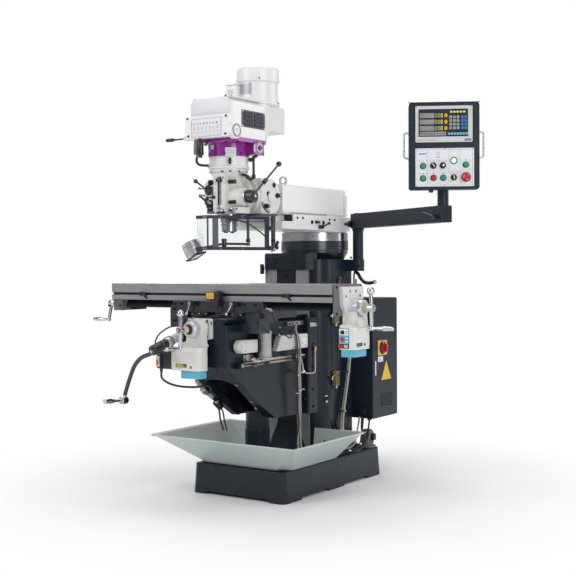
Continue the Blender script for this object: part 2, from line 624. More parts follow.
    def text(self, s, c, x, y, size, depth=0.3):
        """generic numerals, raised from the surface, centred at c"""
        cu = bpy.data.curves.new("t", "FONT")
        cu.body = s
        cu.size = size
        cu.extrude = depth / 2
        cu.align_x = "CENTER"
        cu.align_y = "CENTER"
        cu.resolution_u = 2
        ob = bpy.data.objects.new("t", cu)
        bpy.context.scene.collection.objects.link(ob)
        dg = bpy.context.evaluated_depsgraph_get()
        me = bpy.data.meshes.new_from_object(ob.evaluated_get(dg))
        b = bmesh.new()
        b.from_mesh(me)
        bmesh.ops.remove_doubles(b, verts=b.verts, dist=1e-5)
        x, y = Vector(x).normalized(), Vector(y).normalized()
        z = x.cross(y)
        keep = self.tf
        self.tf = keep @ Matrix.Translation(Vector(c)) @ Matrix((x, y, z)).transposed().to_4x4()
        self._take(b, smooth=False)
        self.tf = keep
        bpy.data.objects.remove(ob)
        bpy.data.curves.remove(cu)
        bpy.data.meshes.remove(me)
        return self

    # ---- small hardware
    def socket(self, p, d, r=6.0, h=6.0, n=28):
        """socket-head cap screw standing on p along d"""
        rr = r * 0.55
        return self.lathe(p, d, [(r, 0), (r, h * 0.86), (r * 0.90, h), (rr * 1.05, h), (rr, h * 0.95), (rr, h * 0.45), (0, h * 0.40)], n)

    def hexbolt(self, p, d, r=9.0, h=6.5, washer=True):
        d = Vector(d).normalized()
        p = Vector(p)
        if washer:
            self.lathe(p, d, [(r * 1.25, 0), (r * 1.25, h * 0.18), (r * 1.18, h * 0.24)], 28)
        return self.lathe(p + d * h * 0.2, d, [(r * 0.97, 0), (r, h * 0.1), (r, h * 0.62), (r * 0.86, h * 0.82), (0, h * 0.84)], 6)

    def panhead(self, p, d, r=4.0, h=2.2):
        """cross-recess pan head"""
        self.lathe(p, d, [(r, 0), (r, h * 0.35), (r * 0.82, h * 0.8), (r * 0.4, h), (r * 0.30, h * 0.95), (r * 0.2, h * 0.55), (0, h * 0.45)], 20)
        return self

    def done(self, sharp=None):
        me = bpy.data.meshes.new(self.name)
        self.bm.verts.ensure_lookup_table()
        bmesh.ops.scale(self.bm, vec=(S, S, S), verts=self.bm.verts)
        ang = radians(sharp or self.sharp)
        for e in self.bm.edges:
            if len(e.link_faces) == 2:
                e.smooth = e.calc_face_angle(0) < ang
        self.bm.to_mesh(me)
        self.bm.free()
        for mt in self.mats:
            me.materials.append(mt)
        ob = bpy.data.objects.new(self.name, me)
        bpy.context.scene.collection.objects.link(ob)
        if self.body:
            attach(ob, self.body)
        return ob


def rot_about(p, axis, deg):
    p = Vector(p)
    return Matrix.Translation(p) @ Matrix.Rotation(radians(deg), 4, Vector(axis)) @ Matrix.Translation(-p)


def rrect(cx, cy, w, h, r, n=5):
    pts = []
    for sx, sy, a0 in ((1, -1, -90), (1, 1, 0), (-1, 1, 90), (-1, -1, 180)):
        for i in range(n + 1):
            a = radians(a0 + 90 * i / n)
            pts.append((cx + sx * (w / 2 - r) + r * cos(a), cy + sy * (h / 2 - r) + r * sin(a)))
    return pts


# ================================================================ finishes on the CAD nodes
def coat(node, key, *rules):
    """Gives a CAD node its finish; each rule is (material key, test(centre mm, normal)) for its own faces."""
    o = nodes[node]
    me = o.data
    me.materials.clear()
    me.materials.append(M[key])
    keys = [key]
    for k, _ in rules:
        if k not in keys:
            keys.append(k)
            me.materials.append(M[k])
    for p in me.polygons:
        idx = 0
        if rules:
            c = p.center / S
            n = p.normal
            for k, test in rules:
                if test(c, n):
                    idx = keys.index(k)
                    break
        p.material_index = idx
    return o


def near(a, b, t=0.6):
    return abs(a - b) < t


SIMPLE = {
    "base_casting": "dark", "knee_casting": "dark", "saddle_casting": "dark", "screw_post": "dark", "coolant_tray": "tray",
    "turret_slide": "white", "ram": "white", "ram_adapter": "white2", "head_casting": "white2", "brake_housing": "white",
    "belt_housing": "white", "motor": "white", "gear_housing": "purple", "turret_ring": "turned", "table_screw": "turned",
    "cross_screw": "turned", "elevating_screw": "turned", "quill": "turned", "spindle": "turned", "motor_shaft_pulley": "grey",
    "spindle_pulley": "grey", "table_end_brackets": "grey", "table_cranks": "chrome", "cross_crank": "chrome",
    "table_lock_left": "chrome", "table_lock_right": "chrome", "knee_crank": "black", "quill_feed_lever": "black",
    "feed_engage_lever": "black", "quill_lock_lever": "black", "speed_lever": "black", "range_lever": "black",
    "ram_lock_lever": "black", "pendant_clamp_lever": "black", "electrical_cabinet": "sheet", "cabinet_door": "sheet",
    "pendant_pole": "pendant", "pendant_arm": "pendant", "pendant_case": "pendant", "digital_readout": "readout",
    "guard_frame": "guard", "accessory_bracket": "guard", "lamp_arm": "guard", "guard_shield": "clear", "lamp_head": "alloy",
    "drive_belt": "belt", "main_switch_knob": "red", "emergency_stop": "red", "stop_button": "red", "start_button": "green",
    "coolant_button": "green", "feed_button": "green", "reset_button": "green", "direction_selector": "blackp",
    "speed_selector": "blackp", "key_switch": "blackp", "x_power_feed": "white2", "y_power_feed": "white2", "table": "grey",
    "column_casting": "dark",
}
for node, key in SIMPLE.items():
    coat(node, key)

# column: ground ways on the dovetail faces
coat("column_casting", "dark",
     ("darkgl", lambda c, n: c.z > 1245),
     ("steel_z", lambda c, n: c.z < 1150 and c.z > 330 and c.y < 22 and n.y < -0.7 and 62 < abs(c.x) < 140 and c.y < -25),
     ("steel_z", lambda c, n: 330 < c.z < 1150 and c.y < 19 and abs(n.x) > 0.3 and 100 < abs(c.x) < 141))
# table: ground top, slots and dovetail, scraped front
coat("table", "steel_x",
     ("steel_x", lambda c, n: n.z > 0.7),
     ("dark2", lambda c, n: c.z < 1001.5 or (n.z < -0.5 and c.z < 1002.5)),
     ("grey", lambda c, n: abs(n.x) > 0.8 and c.z > 1002),
     ("blackox", lambda c, n: 1020 < c.z < 1044 and -628.5 < c.y < -600))
# knee top ways
coat("knee_casting", "dark", ("steel_y", lambda c, n: n.z > 0.8 and c.z > 910))
coat("saddle_casting", "darkgl", ("steel_x", lambda c, n: n.z > 0.8 and c.z > 995))
coat("base_casting", "darkbs", ("dark2", lambda c, n: n.z < -0.5))
coat("table_end_brackets", "grey", ("bracket", lambda c, n: c.x < 0))
coat("coolant_tray", "tray", ("white", lambda c, n: c.z > 299.5))
# ram dovetail
coat("ram", "white", ("white2", lambda c, n: c.z < 1438.5 and n.z < 0.5))
# cranks: handles chrome, dials satin
coat("drive_belt", "belt")
# power feeds: blue motor cap, satin dial parts
coat("x_power_feed", "white2",
     ("blue", lambda c, n: c.z < 786.5 and c.x > 676),
     ("dialm", lambda c, n: c.x > 720 and hypot(c.y + 502, c.z - 976) < 46.5 and c.z > 900))
coat("y_power_feed", "white2",
     ("blue", lambda c, n: c.z < 674.5),
     ("dialm", lambda c, n: c.y < -1200))
coat("table_cranks", "chrome",
     ("dialm", lambda c, n: 744 < c.x < 769.5 and hypot(c.y + 502, c.z - 976) > 20),
     ("cream", lambda c, n: 769.5 < c.x < 790 and hypot(c.y + 502, c.z - 976) < 19),
     ("dialm", lambda c, n: -800 < c.x < -756 and hypot(c.y + 502, c.z - 976) > 20),
     ("cream", lambda c, n: -812 < c.x < -800 and hypot(c.y + 502, c.z - 976) < 19))
coat("cross_crank", "chrome",
     ("dialc", lambda c, n: -853 < c.y < -812 and hypot(c.x, c.z - 872) > 14),
     ("ink", lambda c, n: -871.5 < c.y <= -853 and hypot(c.x, c.z - 872) < 27),
     ("cream", lambda c, n: -899 < c.y <= -871.5 and hypot(c.x, c.z - 872) < 19 and hypot(c.x, c.z - 872) > 11.5))
H = Vector((-138.6, -930.0, 779.2))
Dc = Vector((-0.0942588, -0.942588, -0.3203797))
coat("knee_crank", "black",
     ("chrome", lambda c, n: c.x < -400 and c.y < -829 and c.z < 530),
     ("zinc", lambda c, n: -102 < (c - H).dot(Dc) < -75 and (c - H - Dc * (c - H).dot(Dc)).length > 17.5 and c.x > -160))

# ================================================================ stage
sc = bpy.context.scene
for o in list(bpy.data.objects):
    if o.type in ("LIGHT", "CAMERA"):
        bpy.data.objects.remove(o)


def area(name, loc, target, size, energy, col=(1, 1, 1), size_y=None):
    li = bpy.data.lights.new(name, "AREA")
    li.shape = "RECTANGLE"
    li.size = size
    li.size_y = size_y or size
    li.energy = energy
    li.color = col
    ob = bpy.data.objects.new(name, li)
    ob.location = loc
    ob.rotation_euler = (Vector(target) - Vector(loc)).to_track_quat("-Z", "Y").to_euler()
    sc.collection.objects.link(ob)
    return ob


w = bpy.data.worlds.new("studio")
w.use_nodes = True
nt = w.node_tree
nt.nodes.clear()
wo = nt.nodes.new("ShaderNodeOutputWorld")
bg = nt.nodes.new("ShaderNodeBackground")
bgc = nt.nodes.new("ShaderNodeBackground")
lp = nt.nodes.new("ShaderNodeLightPath")
mxs = nt.nodes.new("ShaderNodeMixShader")
tcw = nt.nodes.new("ShaderNodeTexCoord")
sep = nt.nodes.new("ShaderNodeSeparateXYZ")
nt.links.new(tcw.outputs["Generated"], sep.inputs[0])
mr = nt.nodes.new("ShaderNodeMapRange")
mr.inputs["From Min"].default_value = -0.4
mr.inputs["From Max"].default_value = 0.9
nt.links.new(sep.outputs[2], mr.inputs["Value"])
cr = nt.nodes.new("ShaderNodeMix")
cr.data_type = "RGBA"
nt.links.new(mr.outputs[0], cr.inputs["Factor"])
cr.inputs["A"].default_value = (0.60, 0.61, 0.63, 1)
cr.inputs["B"].default_value = (1.0, 1.0, 1.0, 1)
nt.links.new([o for o in cr.outputs if o.type == "RGBA"][0], bg.inputs[0])
bg.inputs[1].default_value = 0.50
bgc.inputs[0].default_value = (1, 1, 1, 1)
bgc.inputs[1].default_value = 1.0
nt.links.new(lp.outputs["Is Camera Ray"], mxs.inputs[0])
nt.links.new(bg.outputs[0], mxs.inputs[1])
nt.links.new(bgc.outputs[0], mxs.inputs[2])
nt.links.new(mxs.outputs[0], wo.inputs[0])
sc.world = w
sc.view_settings.view_transform = "Standard"
sc.view_settings.look = "None"

area("key", (-2.6, -4.6, 3.9), (0, -0.2, 1.1), 2.4, 88, size_y=3.2)
area("fill", (4.8, -2.6, 2.4), (0, 0, 1.1), 2.0, 84, size_y=3.4)
area("top", (0.3, 0.0, 5.2), (0, 0, 0.5), 3.2, 72)
area("rim", (-3.6, 3.2, 2.8), (0, 0, 1.2), 1.6, 48, size_y=2.8)
area("rim2", (3.6, 3.6, 2.6), (0, 0, 1.2), 1.6, 36, size_y=2.8)

fm = NT("floor_paper")
fc = fm.mix(fm.ramp(fm.noise(1.2, 3), 0.3, 0.7), srgb(246, 246, 246), srgb(252, 252, 252))
fb = fm.bsdf(Base_Color=fc, Roughness=fm.ramp(fm.noise(60.0, 3), 0.3, 0.7, 0.75, 0.85))
# the floor fades into the white backdrop away from the machine
fl = fm.n("ShaderNodeVectorMath", operation="LENGTH")
fm.l(fm.tc.outputs["Object"], fl.inputs[0])
fe = fm.n("ShaderNodeEmission")
fe.inputs[0].default_value = (1, 1, 1, 1)
fmx = fm.n("ShaderNodeMixShader")
fm.l(fm.ramp(fl.outputs["Value"], 0.7, 2.0), fmx.inputs[0])
fm.l(fb.outputs[0], fmx.inputs[1])
fm.l(fe.outputs[0], fmx.inputs[2])
fm.l(fmx.outputs[0], fm.out.inputs[0])
bm = bmesh.new()
bmesh.ops.create_grid(bm, x_segments=24, y_segments=24, size=9.0)
fme = bpy.data.meshes.new("floor")
bm.to_mesh(fme)
bm.free()
fme.materials.append(fm.m)
floor = bpy.data.objects.new("floor", fme)
floor.location = (0, 0, -0.0005)
sc.collection.objects.link(floor)

cam = bpy.data.cameras.new("cam")
cam.sensor_width = 36.0
cam.lens = 67.44
cam.clip_end = 60
co = bpy.data.objects.new("cam", cam)
az, pitch, roll = radians(34.44), radians(-1.19), radians(-0.34)
fw = Vector((-sin(az) * cos(pitch), cos(az) * cos(pitch), sin(pitch)))
rt = Vector((cos(az), sin(az), 0))
up = rt.cross(fw)
Rr = rt * cos(roll) + up * sin(roll)
Uu = -rt * sin(roll) + up * cos(roll)
mw = Matrix((Rr, Uu, -fw)).transposed().to_4x4()
mw.translation = Vector((3.28464, -4.80491, 1.17306))
co.matrix_world = mw
sc.collection.objects.link(co)
sc.camera = co


# ================================================================ motor and belt drive
S6 = 4.0


def bolts(p, pts, d, r=5.0, h=5.0, kind="socket"):
    for q in pts:
        if kind == "socket":
            p.socket(q, d, r, h)
        elif kind == "hex":
            p.hexbolt(q, d, r, h)
        else:
            p.panhead(q, d, r, h)
    return p


def arc_pts(c, r, a0, a1, n, z=None, axis="z"):
    out = []
    for i in range(n + 1):
        a = radians(a0 + (a1 - a0) * i / n)
        if axis == "z":
            out.append((c[0] + r * cos(a), c[1] + r * sin(a), c[2]))
        elif axis == "x":
            out.append((c[0], c[1] + r * cos(a), c[2] + r * sin(a)))
        else:
            out.append((c[0] + r * cos(a), c[1], c[2] + r * sin(a)))
    return out


MC = (0.0, -280.0)
p = Piece("motor_trim", "head", "white_enamel").m("white")
p.ring((0, -280, 2107), (0, 0, 1), [(103.2, 0), (106.6, 1.2), (106.6, 4.4), (103.2, 5.6)], 64)
p.ring((0, -280, 1994), (0, 0, 1), [(103.2, 0), (112, 0.5), (112, 9), (110, 11), (103.2, 11)], 64)
for a in (-152, -96, -20, 60, 120):
    c, sn = cos(radians(a)), sin(radians(a))
    p.obox((c * 103.3, -280 + sn * 103.3, 2056), (1.6, 9, 100), (c, sn, 0), (-sn, c, 0), 0.7)
p.ring((0, -280, 2176), (0, 0, 1), [(92, 0), (92, 9.6), (100, 9.6), (106, 6.0), (109, 0)], 64)
p.m("ink")
for r in (24, 38, 52, 66, 80):
    p.ring((0, -280, 2184.6), (0, 0, 1), [(r - 3.4, 0), (r - 3.4, 0.7), (r + 3.4, 0.7), (r + 3.4, 0)], 48)
p.m("white")
p.lathe((0, -280, 2184.8), (0, 0, 1), [(15, 0), (15, 1.6), (12, 2.6), (0, 2.8)], 32)
for k in range(6):
    a = radians(k * 60 + 30)
    p.obox((cos(a) * 52, -280 + sin(a) * 52, 2185.7), (78, 4, 2.0), (cos(a), sin(a), 0), (-sin(a), cos(a), 0), 0.6)
p.m("blackox")
for k in range(4):
    a = radians(-50 + 90 * k)
    p.panhead((cos(a) * 109.6, -280 + sin(a) * 109.6, 2124), (cos(a), sin(a), 0), 4.2, 2.4)
for k in range(4):
    a = radians(-68 + 90 * k)
    p.hexbolt((cos(a) * 107, -280 + sin(a) * 107, 2005), (0, 0, 1), 6, 5)
p.m("silver")
for k, (a0, a1) in enumerate(((-113, -72),)):
    pts = [(cos(radians(a)) * 104.4, -280 + sin(radians(a)) * 104.4) for a in [a0 + (a1 - a0) * i / 8 for i in range(9)]]
    back = [(cos(radians(a)) * 102.9, -280 + sin(radians(a)) * 102.9) for a in [a1 - (a1 - a0) * i / 8 for i in range(9)]]
    p.prism(pts + back, "z", 2046, 2100, 0)
p.m("inkgrey")
for k in range(5):
    pts = [(cos(radians(a)) * 104.6, -280 + sin(radians(a)) * 104.6) for a in (-110, -102, -94, -86, -80 + 3 * (k % 2))]
    p.tube([(x, y, 2054 + k * 9) for x, y in pts], 0.6, 6, 3)
p.done()

p = Piece("motor_terminal_box", "head", "white_enamel").m("white")
p.box(-116, -38, -406.5, -320, 2096, 2101, 2)
p.box(-110, -45, -401, -325, 2100, 2104, 2)
p.m("zinc")
bolts(p, [(-110, -400, 2101), (-44, -400, 2101), (-110, -326, 2101), (-44, -326, 2101)], (0, 0, 1), 3.6, 2.2, "pan")
p.m("label")
p.prism(rrect(-78, 2064, 52, 34, 3), "y", -404.9, -404.0, 0)
p.m("inkgrey")
for k in range(3):
    p.box(-98, -62 - 6 * (k % 2), -405.3, -404.8, 2054 + k * 8, 2056.4 + k * 8, 0.15, 1)
p.m("rubber")
p.cyl((-114, -362, 2058), (-130, -362, 2058), 13, bev=2)
p.m("cable")
p.tube([(-128, -362, 2058), (-146, -362, 2052), (-158, -352, 2020), (-156, -330, 1970), (-140, -310, 1936), (-112, -301, 1921)], 6.5, 12, 8)
p.m("zinc")
p.cyl((-124, -305, 1926), (-106, -299, 1919), 10, 10, 1)
p.done()

# belt housing: louvred plates on both flanks, front panels, screws
for sgn, nm in ((1, "right"), (-1, "left")):
    p = Piece("vent_plate_" + nm, "head", "sheet_dark").m("vent")
    x = sgn * 130.2

    def X(d):
        return x + sgn * d
    # frame around the four windows, then pressed louvres
    ya, yb, z0, z1 = -596, -402, 1850, 1934
    for (a, b, c, d) in ((ya, yb, z1 - 10, z1), (ya, yb, z0, z0 + 10), (ya, ya + 16, z0 + 9, z1 - 9), (yb - 16, yb, z0 + 9, z1 - 9), (-504, -494, z0 + 9, z1 - 9)):
        p.box(min(X(0), X(2.2)), max(X(0), X(2.2)), a, b, c, d, 0.7, 1)
    for (a, b) in ((-578, -506), (-492, -420)):
        for k in range(3):
            z = 1865 + k * 22
            p.box(min(X(0.2), X(1.6)), max(X(0.2), X(1.6)), a - 3, b + 3, z - 8, z - 4.5, 0.3, 1)
            prof = [(X(1.0), z + 12), (X(2.0), z + 12.6), (X(6.4), z + 1.0), (X(6.0), z - 1.5), (X(4.8), z - 1.5), (X(1.0), z + 9)]
            p.prism(prof, "y", a, b, 0.3, 1)
    p.m("ink")
    p.box(min(X(-0.2), X(0.25)), max(X(-0.2), X(0.25)), -582, -416, 1858, 1926, 0)
    p.m("zinc")
    bolts(p, [(X(2.0), y, z) for y in (ya + 7, yb - 7) for z in (z0 + 6, z1 - 6)], (sgn, 0, 0), 5.2, 2.8, "pan")
    p.done()

p = Piece("belt_cover_fittings", "head", "white_enamel").m("plate")
p.prism([(-119, 1912), (119, 1912), (119, 1972), (106, 1984.5), (-106, 1984.5), (-119, 1972)], "y", -674.2, -672.0, 0.6)
p.prism(rrect(0, 1845, 192, 96, 10), "y", -708.2, -706.0, 0.6)
p.m("inkgrey")
for (a, b, c, d) in ((-90, 90, 1887.4, 1888.6), (-90, 90, 1801.4, 1802.6), (-90.6, -89.4, 1802, 1888), (89.4, 90.6, 1802, 1888)):
    p.box(a, b, -708.6, -708.0, c, d, 0)
# a row of small generic symbols: wheel, bar, arrow, ring
for k, x in enumerate((-74, -54, -34, -14, 6, 26, 46, 66)):
    if k % 4 == 0:
        p.ring((x, -708.0, 1864), (0, -1, 0), [(3.4, 0), (3.4, 0.6), (5.2, 0.6), (5.2, 0)], 20)
    elif k % 4 == 1:
        p.box(x - 5, x + 5, -708.6, -708.0, 1863, 1865.4, 0.1, 1)
        p.box(x - 1, x + 1, -708.6, -708.0, 1859, 1869, 0.1, 1)
    elif k % 4 == 2:
        p.prism([(x - 5, 1860), (x + 5, 1864), (x - 5, 1868)], "y", -708.6, -708.0, 0)
    else:
        p.box(x - 5, x + 5, -708.6, -708.0, 1860, 1868, 0.1, 1)
for k, x in enumerate((-70, -46, -22, 2, 26, 50, 74)):
    p.box(x - 8, x + 5 - (k % 3) * 2, -708.5, -708.0, 1845, 1847, 0.1, 1)
    p.box(x - 8, x + 3 - (k % 2) * 3, -708.5, -708.0, 1838, 1840, 0.1, 1)
    p.box(x - 8, x + 5, -708.5, -708.0, 1824, 1825.4, 0.1, 1)
p.m("blackox")
bolts(p, [(-117, -706, 1894), (121, -706, 1891), (-112, -706, 1808), (117, -706, 1806)], (0, -1, 0), 5.2, 4.4)
p.m("white")
p.box(-124, 124, -668, -404, 1988, 1990.6, 1.0)
p.m("blackox")
bolts(p, [(-112, -655, 1990.6), (112, -655, 1990.6), (-112, -520, 1990.6), (112, -520, 1990.6), (-104, -415, 1990.6), (104, -415, 1990.6)], (0, 0, 1), 5, 4.2)
p.m("white")
p.ring((0, -530, 1990.2), (0, 0, 1), [(34, 0), (34, 5), (38, 7), (46, 7), (49, 5), (50, 0)], 48)
p.lathe((0, -530, 1990.2), (0, 0, 1), [(31, 0), (31, 5.5), (24, 9), (12, 10), (0, 10)], 40)
p.m("blackox")
p.hexa((0, -530, 2000), (0, -530, 2007), 9)
p.done()

# turned cap on the housing's side boss
p = Piece("housing_boss_cap", "head", "white_enamel").m("white")
p.m("keygrey")
p.ring((152, -664, 1824), (1, 0, 0), [(24, 0), (24, 3.0), (26.5, 4.4), (31, 4.0), (32.5, 2.0), (32.8, 0)], 48)
p.m("label")
p.lathe((152, -664, 1824), (1, 0, 0), [(23.6, 0), (23.6, 2.0), (20, 2.8), (8, 3.0), (0, 3.0)], 40)
p.m("inkgrey")
for k in range(3):
    p.box(154.9, 155.3, -674, -656 + 3 * (k % 2), 1818 + 6 * k, 1819.6 + 6 * k, 0.1, 1)
p.done()

# small grey control box with a black sleeve and a ribbed hose on the left front
p = Piece("speed_change_unit", "head", "white_enamel").m("grey")
p.box(-80, -58, -709, -677, 1716, 1772, 4)
p.box(-76, -62, -700, -672, 1770, 1798, 3)
p.m("black")
p.cyl((-42, -700, 1778), (-42, -700, 1713), 15, 16, 2)
p.cyl((-42, -700, 1714), (-42, -700, 1700), 10, 8, 1.5)
p.cyl((-62, -694, 1756), (-46, -697, 1756), 8)
p.cyl((-42, -700, 1778), (-42, -700, 1796.5), 8)
p.m("zinc")
p.cyl((-69, -692, 1718), (-69, -692, 1706), 7, 7)
p.m("rubber")
p.tube([(-69, -692, 1708), (-72, -694, 1694), (-78, -682, 1680), (-84, -656, 1672), (-84, -624, 1671), (-77, -600, 1672)], 6.2, 14, 10, ribs=0.18, pitch=5)
p.m("zinc")
p.cyl((-77.5, -603, 1672), (-70, -588, 1672), 8.5, 8.5)
p.done()

# purple gear housing: plates, screws, oval badge, clamp bolts
p = Piece("gear_housing_fittings", "head", "purple_enamel").m("purple")
p.ring((0, -530, 1778), (0, 0, 1), [(101.8, -4), (108, -3), (110, 0), (101.8, 0)], 64)
for (a0, a1, z0, z1, key) in ((-110, -98, 1746, 1768, "plate"), (-62, -32, 1708, 1752, "plate")):
    p.m(key)
    pts = [(cos(radians(a)) * 104.0, -530 + sin(radians(a)) * 104.0) for a in [a0 + (a1 - a0) * i / 8 for i in range(9)]]
    back = [(cos(radians(a)) * 101.6, -530 + sin(radians(a)) * 101.6) for a in [a1 - (a1 - a0) * i / 8 for i in range(9)]]
    p.prism(pts + back, "z", z0, z1, 0)
p.m("blackox")
for a in (-165, -118, -62, -15, 15, 165):
    c, s = cos(radians(a)), sin(radians(a))
    p.socket((c * 102, -530 + s * 102, 1724), (c, s, 0), 4.6, 4)
bolts(p, [(x, y, 1797.0) for x, y in ((-126, -640), (126, -640), (126, -560), (-126, -560))], (0, 0, 1), 5.5, 1.2)
for a in (-150, -120, -60, -30, 0, 180):
    c, s = cos(radians(a)), sin(radians(a))
    p.hexbolt((c * 116, -530 + s * 116, 1778.2), (0, 0, -1), 6.5, 5, False)
p.m("inkgrey")
for z in (1743, 1735, 1727, 1719):
    p.tube([(cos(radians(a)) * 104.2, -530 + sin(radians(a)) * 104.2, z) for a in (-59, -53, -47, -41, -36)], 0.7, 6, 3)
p.done()

# range-gear box face and its index plate
p = Piece("range_plate", "head", "purple_enamel").m("silver")
p.prism([(-500 + 10 * cos(2 * pi * k / 32), 1752 + 22 * sin(2 * pi * k / 32)) for k in range(32)], "x", 137.9, 139.0, 0.3)
p.ring((138.0, -455, 1757), (1, 0, 0), [(14.6, 0), (14.6, 1.0), (24, 1.0), (24.6, 0)], 40)
p.m("ink")
for a in (-50, -25, 0, 25, 50):
    c, s = cos(radians(a + 90)), sin(radians(a + 90))
    p.obox((139.2, -455 + c * 20, 1757 + s * 20), (0.6, 1.3, 5), (1, 0, 0), (0, -s, c), 0.1)
p.m("blackox")
bolts(p, [(138, y, z) for y, z in ((-426, 1783), (-426, 1729), (-487, 1783))], (1, 0, 0), 4.0, 3)
p.done()

# brake housing: front knob, clamp bolts and side stud
p = Piece("brake_housing_fittings", "head", "white_enamel").m("white")
p.ring((0, -530, 1652.2), (0, 0, 1), [(96.5, 0), (103, 0.6), (104, 3), (104, 9), (102, 11), (96.5, 11)], 64)
p.m("black")
KD = Vector((0.643, -0.766, 0))
kq = Vector((0, -530, 1683))
p.cyl(kq + KD * 111.5, kq + KD * 122, 9, 9)
p.obox(kq + KD * 129, (24, 24, 15), (0.643, -0.766, 1), (-0.643, 0.766, 1), 3.5)
p.m("zinc")
p.lathe(kq + KD * 141, KD, [(5, -2), (5, 1), (0, 1.6)], 20)
p.m("blackox")
for a in (-150, -118, -72, -48, -20, 20, 160):
    c, s = cos(radians(a)), sin(radians(a))
    p.hexbolt((c * 91, -530 + s * 91, 1640), (0, 0, -1), 7.0, 6, True)
p.m("ink")
for a in range(-84, -40, 4):
    c, s = cos(radians(a)), sin(radians(a))
    p.obox((c * 98.1, -530 + s * 98.1, 1706), (0.6, 0.8, 5 if a % 8 else 8), (c, s, 0), (-s, c, 0), 0.1)
p.done()

# brake lever: black wing knob and vertical rod on the right of the head
p = Piece("brake_handle", "head", "black_handles").m("black")
p.cyl((120, -485, 1704), (120, -485, 1617), 6.5, 6.5)
p.cyl((120, -485, 1612), (120, -485, 1626), 11, 9, 2)
p.cyl((96, -493, 1698), (124, -484, 1698), 10, 10, 2)
p.ball((120, -485, 1706), 9)
p.obox((129, -483, 1713), (27, 13, 15), (1, 0.2, 0.35), (-0.2, 1, 0), 5)
p.done()

# ================================================================ head: clamps, feed controls, depth stop
p = Piece("head_side_bolts", "head", "black_handles").m("blackox")
for z in (1586, 1487):
    p.cyl((48, -592, z), (80, -588, z), 9.5, 9.5, 1.5)
    p.m("black")
    p.cyl((80, -588, z), (86, -587.3, z), 11, 10.5, 1.5)
    p.m("blackox")
p.m("zinc")
p.cyl((64, -586, 1446), (64, -600, 1446), 11.5, 11, 1.5)
p.m("blackox")
p.socket((64, -600, 1446), (0, -1, 0), 6.4, 4)
p.socket((40, -626.2, 1447), (0, -1, 0), 3.6, 3)
p.socket((90, -585.3, 1452), (0, -1, 0), 4.4, 3)
p.panhead((38, -626.2, 1605), (0, -1, 0), 4.0, 2.2)
p.done()

p = Piece("head_clamp_bracket", "head", "black_handles").m("black")
p.obox((104, -540, 1619), (44, 20, 15), (1, 0.35, -0.35), (-0.3, 1, 0), 4)
p.cyl((112, -536, 1612), (128, -520, 1601), 10, 9, 2)
p.obox((132, -512, 1603), (34, 11, 14), (1, 0.3, 0.5), (-0.3, 1, 0), 4)
p.m("zinc")
p.hexbolt((92, -552, 1626), (0.2, -0.5, 0.85), 7, 6)
p.done()

# depth stop: dark slot liner, stop block, threaded rod with nuts, graduated scale
p = Piece("depth_stop", "head", "ground_steel").m("ink")
p.box(8.5, 23.5, -604, -603.2, 1462, 1604, 0)
p.m("black")
p.box(1, 31, -640, -600, 1584, 1600, 3)
p.box(4, 28, -633, -627, 1600, 1607, 1.5)
p.m("blackox")
p.box(5, 9.6, -627.6, -606, 1466, 1586, 0.8)
p.m("zinc")
# threaded rod as a run of thread crests
prof = []
z = 1440.0
while z < 1586:
    prof += [(5.6, z - 1440), (6.9, z - 1440 + 1.2), (5.6, z - 1440 + 2.4)]
    z += 2.4
p.lathe((17, -622, 1440), (0, 0, 1), prof, 20)
p.lathe((17, -622, 1456), (0, 0, 1), [(11, 0), (12.5, 1.5), (12.5, 15), (11, 16.5)], 28)
p.lathe((17, -622, 1438), (0, 0, 1), [(9, 0), (10.5, 1.5), (10.5, 9), (9, 10)], 28)
p.m("blackox")
p.box(1, 33, -634, -606, 1430, 1439, 2)
p.m("label")
p.box(-22, -4, -627.9, -626.0, 1446, 1596, 0.5, 1)
p.m("ink")
for k in range(27):
    z = 1452 + k * 5.2
    p.box(-4 - (9 if k % 5 == 0 else 4.5), -4.6, -628.3, -627.8, z - 0.4, z + 0.4, 0)
for k in range(6):
    p.text(str(k), (-17, -628.2, 1452 + k * 26), (1, 0, 0), (0, 0, 1), 7, 0.4)
p.m("zinc")
p.panhead((-13, -627.9, 1601), (0, -1, 0), 3.4, 2)
p.done()

# fine-feed wheel cluster on the left of the head
p = Piece("fine_feed_controls", "head", "black_handles").m("black")
p.lathe((-44, -628, 1548), (-0.35, -0.94, 0), [(19, 0), (22, 3), (22, 15), (19, 18), (10, 19)], 36)
p.m("knurl")
for k in range(16):
    a = 2 * pi * k / 16
    dd = Vector((-0.35, -0.94, 0)).normalized()
    xx = dd.orthogonal().normalized()
    yy = dd.cross(xx)
    q = Vector((-44, -628, 1548)) + dd * 9 + (xx * cos(a) + yy * sin(a)) * 21.4
    p.obox(q, (4.2, 3.2, 13), xx * cos(a) + yy * sin(a), (xx * -sin(a) + yy * cos(a)), 1)
p.m("grey")
p.cyl((-40, -590, 1548), (-42, -628, 1548), 17, 17)
p.cyl((-58, -560, 1548), (-46, -612, 1548), 14, 14)
p.m("black")
p.tube([(-52, -648, 1554), (-72, -646, 1556), (-88, -642, 1554), (-98, -640, 1558)], 3.6, 12, 6)
p.ball((-100, -640, 1558), 5.5)
p.m("blackox")
p.cyl((-30, -618, 1584), (-34, -640, 1586), 11, 11)
p.cyl((-34, -640, 1586), (-35, -646, 1586), 8, 8)
p.cyl((-44, -612, 1578), (-60, -616, 1578), 7, 7)
p.m("chrome")
p.cyl((-36, -610, 1522), (-70, -628, 1521), 13, 12, 2)
p.cyl((-66, -626, 1521), (-84, -636, 1520), 7.5, 6.5, 1.5)
p.m("grey")
p.ball((-90, -640, 1519), 9.5)
p.m("black")
p.cyl((-18, -624, 1512), (-22, -636, 1512), 9, 9)
p.done()

